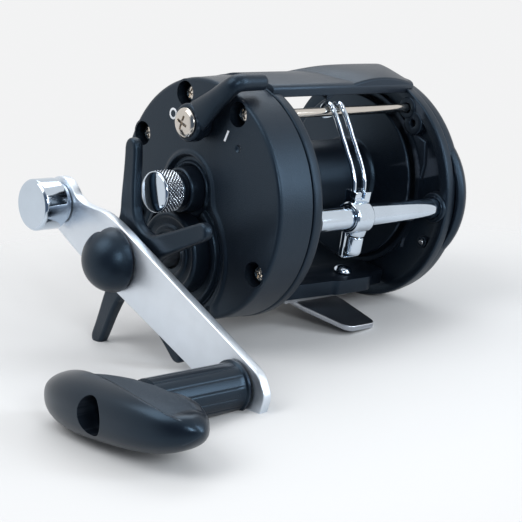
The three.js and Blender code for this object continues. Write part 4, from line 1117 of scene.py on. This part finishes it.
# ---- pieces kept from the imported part

def keep_the_rest():
    """Gives every node that no mesh replaces its material and soft edges."""
    slots = {s["node"]: s["material_slot"] for s in record["subparts"]}
    for name, obj in frame["nodes"].items():
        if obj.hide_render:
            continue
        obj.data.materials.clear()
        obj.data.materials.append(MATERIALS[slots[name]])
        low, high = box_mm(name)
        change = obj.modifiers.new("soft_edges", "BEVEL")
        change.width = min(0.00012, min(high - low) / 1000 * 0.12)
        change.segments = 2
        change.limit_method = "ANGLE"
        change.angle_limit = math.radians(40)
        normals = obj.modifiers.new("normals", "WEIGHTED_NORMAL")
        normals.keep_sharp = True


# ---- stage, light and camera

def contact_plane():
    """The plane that the reel lies on, off a rod: under the knob, the foot and the left cover."""
    clouds = []
    for name in ("knob_grip_moulding", "foot_casting", "side_cover_left"):
        obj = bpy.data.objects[name]
        clouds.append(np.array([obj.matrix_world @ v.co for v in obj.data.vertices]))
    normal = np.array([-0.2, 0.35, 1.0])
    for _ in range(12):
        points = [cloud[np.argmin(cloud @ normal)] for cloud in clouds]
        normal = np.cross(points[1] - points[0], points[2] - points[0])
        normal /= np.linalg.norm(normal) * (1 if normal[2] > 0 else -1)
    return Vector(points[1]), Vector(normal)


def make_stage():
    """A pale round floor that fades into the background at its rim."""
    point, normal = contact_plane()
    middle = Vector((-0.035, -0.02, 0))
    middle.z = point.z - ((middle.x - point.x) * normal.x + (middle.y - point.y) * normal.y) / normal.z
    rings, sides, reach = 24, 96, 0.26
    verts, faces = [(0, 0, 0)], [(0, 1 + j, 1 + (j + 1) % sides) for j in range(sides)]
    for i in range(1, rings + 1):
        for j in range(sides):
            a = 2 * math.pi * j / sides
            verts.append((reach * i / rings * math.cos(a), reach * i / rings * math.sin(a), 0))
    faces += [tuple(k + 1 for k in f) for f in grid_faces(rings, sides)]
    mesh = bpy.data.meshes.new("floor")
    mesh.from_pydata(verts, [], faces)
    floor = bpy.data.objects.new("floor", mesh)
    bpy.context.scene.collection.objects.link(floor)
    floor.rotation_mode = "QUATERNION"
    floor.rotation_quaternion = normal.to_track_quat("Z", "Y")
    floor.location = middle - normal * 0.0002

    mat = bpy.data.materials.new("floor")
    mat.use_nodes = True
    tree, link = mat.node_tree, mat.node_tree.links.new
    tree.nodes.remove(tree.nodes["Principled BSDF"])
    length = add_node(tree, "VectorMath")
    length.operation = "LENGTH"
    link(add_node(tree, "TexCoord").outputs["Object"], length.inputs[0])
    fade = add_node(tree, "MapRange", From_Min=0.07, From_Max=0.235, To_Min=1.0, To_Max=0.0)
    fade.interpolation_type = "SMOOTHERSTEP"
    link(length.outputs["Value"], fade.inputs["Value"])
    mix = add_node(tree, "MixShader")
    link(fade.outputs["Result"], mix.inputs["Fac"])
    link(add_node(tree, "BsdfTransparent").outputs["BSDF"], mix.inputs[1])
    link(add_node(tree, "BsdfDiffuse", Color=(0.60, 0.60, 0.60, 1.0)).outputs["BSDF"], mix.inputs[2])
    link(mix.outputs["Shader"], tree.nodes["Material Output"].inputs["Surface"])
    mesh.materials.append(mat)


def area_light(name, place, target, size, power, colour):
    light = bpy.data.lights.new(name, "AREA")
    light.shape = "RECTANGLE"
    light.size, light.size_y = size
    light.energy = power
    light.color = colour
    obj = bpy.data.objects.new(name, light)
    bpy.context.scene.collection.objects.link(obj)
    obj.location = place
    obj.rotation_mode = "QUATERNION"
    obj.rotation_quaternion = (target - place).to_track_quat("-Z", "Y")


CAMERA_AT = Vector((-0.34421, -0.330295, 0.175739))
CAMERA_AHEAD = Vector((0.66785, 0.66550, -0.33329)).normalized()
CAMERA_RIGHT = CAMERA_AHEAD.cross(Vector((0, 0.25882, 0.96593))).normalized()
CAMERA_UP = CAMERA_RIGHT.cross(CAMERA_AHEAD).normalized()


def make_camera():
    camera = bpy.data.objects.new("camera", bpy.data.cameras.new("camera"))
    bpy.context.scene.collection.objects.link(camera)
    turned_axes = Matrix((CAMERA_RIGHT, CAMERA_UP, -CAMERA_AHEAD)).transposed()
    camera.matrix_world = Matrix.Translation(CAMERA_AT) @ turned_axes.to_4x4()
    camera.data.lens = 103.99
    camera.data.sensor_width = 36.0
    camera.data.clip_start, camera.data.clip_end = 0.01, 20.0
    bpy.context.scene.camera = camera


def make_lights():
    """Two narrow strips for the plating's highlights, and three large soft panels."""
    eye, right, above, ahead = CAMERA_AT, CAMERA_RIGHT, CAMERA_UP, CAMERA_AHEAD
    target = Vector((-0.02, 0, 0.03))
    for i, shift in enumerate((0.12, 0.21)):
        place = eye + right * shift + above * 0.10 - ahead * 0.08
        area_light(f"strip_{i}", place, target, (0.05, 0.13), 0.6, (0.93, 0.97, 1.0))
    for name, place, size, power, colour in (
        ("key", eye - right * 0.40 + above * 0.50 + ahead * 0.15, (0.45, 0.45), 2.3, (0.97, 0.985, 1.0)),
        ("top", target + above * 0.75 + ahead * 0.20, (0.6, 0.4), 2.0, (0.94, 0.97, 1.0)),
        ("side", target + right * 0.62 + above * 0.22 - ahead * 0.28, (0.16, 0.5), 2.4, (0.84, 0.92, 1.0)),
    ):
        area_light(name, place, target, size, power, colour)


def make_world():
    """Pale all round, with a dark zone behind the camera that the plating mirrors."""
    world = bpy.data.worlds.new("studio")
    world.use_nodes = True
    tree, link = world.node_tree, world.node_tree.links.new
    dark = add_node(tree, "VectorMath")
    dark.operation = "DOT_PRODUCT"
    dark.inputs[1].default_value = (-0.72, -0.66, 0.20)
    link(add_node(tree, "TexCoord").outputs["Generated"], dark.inputs[0])
    fall = add_node(tree, "MapRange", From_Min=0.42, From_Max=0.86)
    fall.interpolation_type = "SMOOTHSTEP"
    link(dark.outputs["Value"], fall.inputs["Value"])
    mix = add_node(tree, "MixRGB", Color1=(0.892, 0.895, 0.90, 1.0), Color2=(0.10, 0.135, 0.19, 1.0))
    link(fall.outputs["Result"], mix.inputs["Fac"])
    link(mix.outputs["Color"], tree.nodes["Background"].inputs["Color"])
    tree.nodes["Background"].inputs["Strength"].default_value = 1.0
    bpy.context.scene.world = world
    bpy.context.scene.view_settings.view_transform = "Standard"


make_frame()
make_cover()
make_marks()
make_screws()
make_left_cover()
make_clicker()
make_foot()
make_spool_and_bars()
make_carriage()
make_lever()
make_cast_cap()
make_star()
make_arm()
make_nut_cover(ARM_FACE)
make_counterweight(ARM_FACE)
make_sleeve(ARM_FACE)
make_knob_spindle()
make_grip()
keep_the_rest()
make_stage()
make_camera()
make_lights()
make_world()
